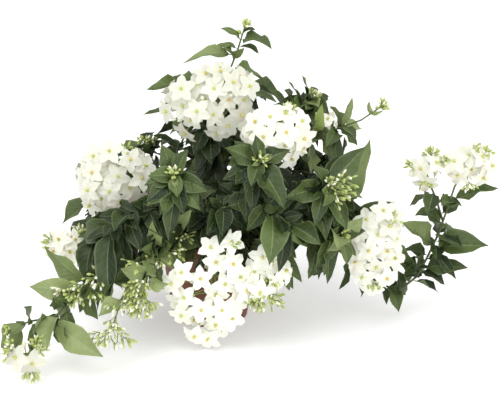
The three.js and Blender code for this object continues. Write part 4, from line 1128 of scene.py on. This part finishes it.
def add_head_bud(shape, bud, knot, tone):
    swell = 1.15 * bud.radius
    neck = bud.tip - 8.5 * (bud.tip - bud.root).normalized()
    tube(shape, [knot, bud.root, neck], (0.55, 0.45, 0.6), 5, STALK, tone)
    rounded(shape, neck, bud.tip, (0.8, 0.85 * swell, swell, 0.75 * swell, 0.3), 6, CLOSED, tone)


def inner_buds(head):
    """Closed buds between the open flowers, on the same branching stalk."""
    draw = seeded_draw(sum(map(ord, head.name)))
    a, b, c = core_half(head)
    for index in range(FEWEST_INNER_BUDS + len(head.flowers) // 2):
        angle = TURN * draw()
        spread = 0.4 + 0.6 * draw()
        depth = b * (0.3 + 1.1 * draw()) * (1 if at_the_back(head) else -1)
        tip = head.at + Vector((a * spread * math.cos(angle), depth, c * spread * math.sin(angle)))
        yield Bud(tip.lerp(head.at, 0.5) - 3 * UP, tip + 3 * UP, 1.5 + 0.7 * draw())


def add_head_cymes(shape, head, knots, draw):
    """Green bud clusters at the edge of a head; the loose heads have many."""
    look = head_look(head)
    for index in range(head.clusters):
        angle = 0.4 + 2.1 * index + draw()
        edge = Vector((math.cos(angle), 0.3 * look.y, math.sin(angle))) * Vector(head.half)
        root = head.at + 0.7 * edge
        tube(shape, [nearest(knots, root), root], (0.6, 0.5), 5, STALK)
        way = unit_sum((1, edge.normalized()), (0.4, look), (0.3, UP))
        add_cyme(shape, root, way, 12 + 4 * draw(), 9, draw, (STALK, HALF_GROWN, CLOSED))


def build_head(head):
    shape = new_shape()
    draw = seeded_draw(31 * len(head.name) + len(head.flowers))
    line = LINES[head.shoot]
    start = line.points[-1] + GAP * heading(line, 1)
    knots = head_knots(head)
    tube(shape, [start, start.lerp(knots[1], 0.6), knots[1], knots[2]], (1.2, 1.1, 1, 0.9), 6, STALK)
    for inner, outer in ((1, 0), (2, 3)):
        tube(shape, [knots[inner], knots[outer]], (0.9, 0.7), 6, STALK)
    for flower in flowers[head.name]:
        # painted shade: each flower takes its head's painted shade, varied at random, as its tone
        tone = head.shade + 0.4 * (draw() - 0.5)
        add_flower(shape, flower, nearest(knots, flower.centre), tone)
    for bud in buds[head.name] + list(inner_buds(head)):
        add_head_bud(shape, bud, nearest(knots, bud.tip), draw())
    add_head_cymes(shape, head, knots, draw)
    finished(meshed(head.name.replace("head", "flowers"), shape, PETAL, ANTHER, STALK_SKIN, BUD_SKIN,
                    YOUNG_SKIN), head.name)


for stem in dict.fromkeys(STEM_OF.values()):
    build_stem(stem)
for head in HEADS:
    build_head(head)


# The pot is turned from its outline; the faces of its base are filled round the drain holes

def wall_at(z):
    return BASE_RADIUS + (RIM_RADIUS - RIM_BAND_DEPTH - BASE_RADIUS) * z / POT_HEIGHT


def turned(outline, sides):
    """Spins an outline of (radius, height) points about the middle and closes it on itself."""
    shape = new_shape()
    corners = [shape.verts.new(Vector((r, 0, z)) * MM) for r, z in outline]
    edges = [shape.edges.new(pair) for pair in zip(corners, corners[1:])]
    bmesh.ops.spin(shape, geom=corners + edges, cent=(0, 0, 0), axis=(0, 0, 1), angle=TURN,
                   steps=sides, use_merge=True)
    return shape


def at_angle(angle, radius, height):
    return Vector((radius * math.cos(angle), radius * math.sin(angle), height))


def circle_edges(shape, centre, radius, sides):
    ring = bmesh.ops.create_circle(shape, segments=sides, radius=radius * MM,
                                   matrix=Matrix.Translation(centre * MM))["verts"]
    return list(dict.fromkeys(edge for vertex in ring for edge in vertex.link_edges))


def build_pot():
    band = POT_HEIGHT - RIM_BAND_HEIGHT
    shape = turned((
        (BASE_RADIUS, 0), (wall_at(1.2) + 0.1, 1.2), (wall_at(30), 30), (wall_at(60), 60),
        (wall_at(band - 1), band - 1), (wall_at(band), band - 0.2),
        (wall_at(band) + RIM_BAND_DEPTH - 0.2, band + 0.9), (wall_at(band) + RIM_BAND_DEPTH, band + 1.8),
        (RIM_RADIUS - 0.1, POT_HEIGHT - 0.9), (RIM_RADIUS - 0.5, POT_HEIGHT),
        (wall_at(POT_HEIGHT) - WALL + 0.3, POT_HEIGHT), (wall_at(POT_HEIGHT) - WALL, POT_HEIGHT - 0.6),
        (wall_at(40) - WALL, 40), (wall_at(FLOOR) - WALL, FLOOR),
    ), POT_SIDES)
    for height, radius in ((0, BASE_RADIUS), (FLOOR, wall_at(FLOOR) - WALL)):
        edges = circle_edges(shape, height * UP, radius, POT_SIDES)
        for i in range(DRAIN_HOLES):
            centre = at_angle(TURN * (i + 0.5) / DRAIN_HOLES, DRAIN_CIRCLE, height)
            edges += circle_edges(shape, centre, DRAIN_RADIUS, DRAIN_SIDES)
        bmesh.ops.triangle_fill(shape, edges=edges, use_beauty=True)
    rings = [edge for edge in shape.edges if edge.is_boundary and
             math.hypot(*edge.verts[0].co.xy) < (DRAIN_CIRCLE + DRAIN_RADIUS + 1) * MM]
    # This joins the rings in a chain, not in pairs, and its flat faces close the drain holes
    bmesh.ops.bridge_loops(shape, edges=rings)
    bmesh.ops.remove_doubles(shape, verts=shape.verts[:], dist=1e-6)
    bmesh.ops.recalc_face_normals(shape, faces=shape.faces[:])
    uv = shape.loops.layers.uv.active
    for face in shape.faces:
        face.smooth = abs(face.normal.z) < 0.9
        for loop in face.loops:
            co = loop.vert.co / MM
            loop[uv].uv = (math.atan2(co.y, co.x) / TURN + 0.5, 1 - co.z / POT_HEIGHT)
    finished(meshed("nursery_pot", shape, POT_BROWN), "pot")


def build_soil():
    edge = SOIL_TOP - SOIL_MOUND
    low, high = [wall_at(z) - WALL - 2 * GAP for z in (FLOOR, edge)]
    rings = [(low * share, FLOOR + GAP) for share in (0.01, 0.5, 1)]
    rings += [(high - 0.5, edge - 1), (high - 2, edge)]
    rings += [(high * share, edge + SOIL_MOUND * (1 - share ** 2)) for share in
              (0.86, 0.74, 0.62, 0.5, 0.38, 0.26, 0.14, 0.01)]
    shape = turned(rings, SOIL_SIDES)
    for vertex in shape.verts:
        if vertex.co.z > (edge - 0.5) * MM:
            inwards = 1 - math.hypot(*vertex.co.xy) / (LUMP_CIRCLE * MM)
            vertex.co.z += LUMP_HEIGHT * noise.fractal(vertex.co * 160, 0.6, 2.0, 4) * inwards * MM
    bmesh.ops.holes_fill(shape, edges=[edge for edge in shape.edges if edge.is_boundary], sides=0)
    bmesh.ops.recalc_face_normals(shape, faces=shape.faces[:])
    for face in shape.faces:
        face.smooth = True
    draw = seeded_draw(4241)
    for index in range(CRUMBS):
        place = at_angle(TURN * draw(), CRUMB_CIRCLE * math.sqrt(draw()), SOIL_TOP - 1.6 * draw())
        size = Vector((1 + 2 * draw(), 0.8 + draw(), 0.6 + 0.5 * draw()))
        turn = Matrix.Rotation(TURN * draw(), 4, "Z") @ Matrix.Rotation(0.8 * draw(), 4, "X")
        crumb = Matrix.Translation(place * MM) @ turn @ Matrix.Diagonal((*size * MM, 1))
        bits = bmesh.ops.create_icosphere(shape, subdivisions=1, radius=1, matrix=crumb)["verts"]
        for face in {face for vertex in bits for face in vertex.link_faces}:
            face.material_index = index % 3 != 0
    finished(meshed("potting_soil", shape, SOIL_EARTH, SOIL_BARK), "soil")


build_pot()
build_soil()


# A pale floor, soft light and the camera, in metres

FLOOR_SIZE = 6
LENS = 115
FILM_WIDTH = 36
CAMERA_AIM = Vector((0.041, 0, 0.1224))
CAMERA_DISTANCE = 1.6
CAMERA_HEIGHT = math.radians(20)
SKY_LIGHT = 0.85

# Each lamp: its place, its size and its power
LAMPS = {"key": ((-0.6, -1.1, 2.1), 1.8, 22), "fill": ((1.3, -1.5, 0.8), 1.6, 10)}

ground = bmesh.new()
bmesh.ops.create_grid(ground, x_segments=8, y_segments=8, size=FLOOR_SIZE)
floor_white = Finish("floor_white", Base_Color=(0.9, 0.9, 0.9, 1), Roughness=0.9,
                     Emission_Color=(1, 1, 1, 1), Emission_Strength=0.34)
meshed("floor", ground, floor_white)

for name, (place, size, power) in LAMPS.items():
    lamp = bpy.data.lights.new(name, "AREA")
    lamp.shape = "DISK"
    lamp.size = size
    lamp.energy = power
    light = placed(name, lamp)
    light.location = place
    light.rotation_euler = (CAMERA_AIM - Vector(place)).to_track_quat("-Z", "Y").to_euler()

lens = bpy.data.cameras.new("camera")
lens.lens = LENS
lens.sensor_width = FILM_WIDTH
camera = placed("camera", lens)
away = Vector((0, -math.cos(CAMERA_HEIGHT), math.sin(CAMERA_HEIGHT)))
camera.location = CAMERA_AIM + CAMERA_DISTANCE * away
camera.rotation_euler = (math.pi / 2 - CAMERA_HEIGHT, 0, 0)
bpy.context.scene.camera = camera

sky = bpy.data.worlds.new("studio")
sky.use_nodes = True
sky.node_tree.nodes["Background"].inputs["Color"].default_value = (1, 1, 1, 1)
sky.node_tree.nodes["Background"].inputs["Strength"].default_value = SKY_LIGHT
bpy.context.scene.world = sky
bpy.context.scene.view_settings.view_transform = "Standard"

bpy.context.view_layer.update()
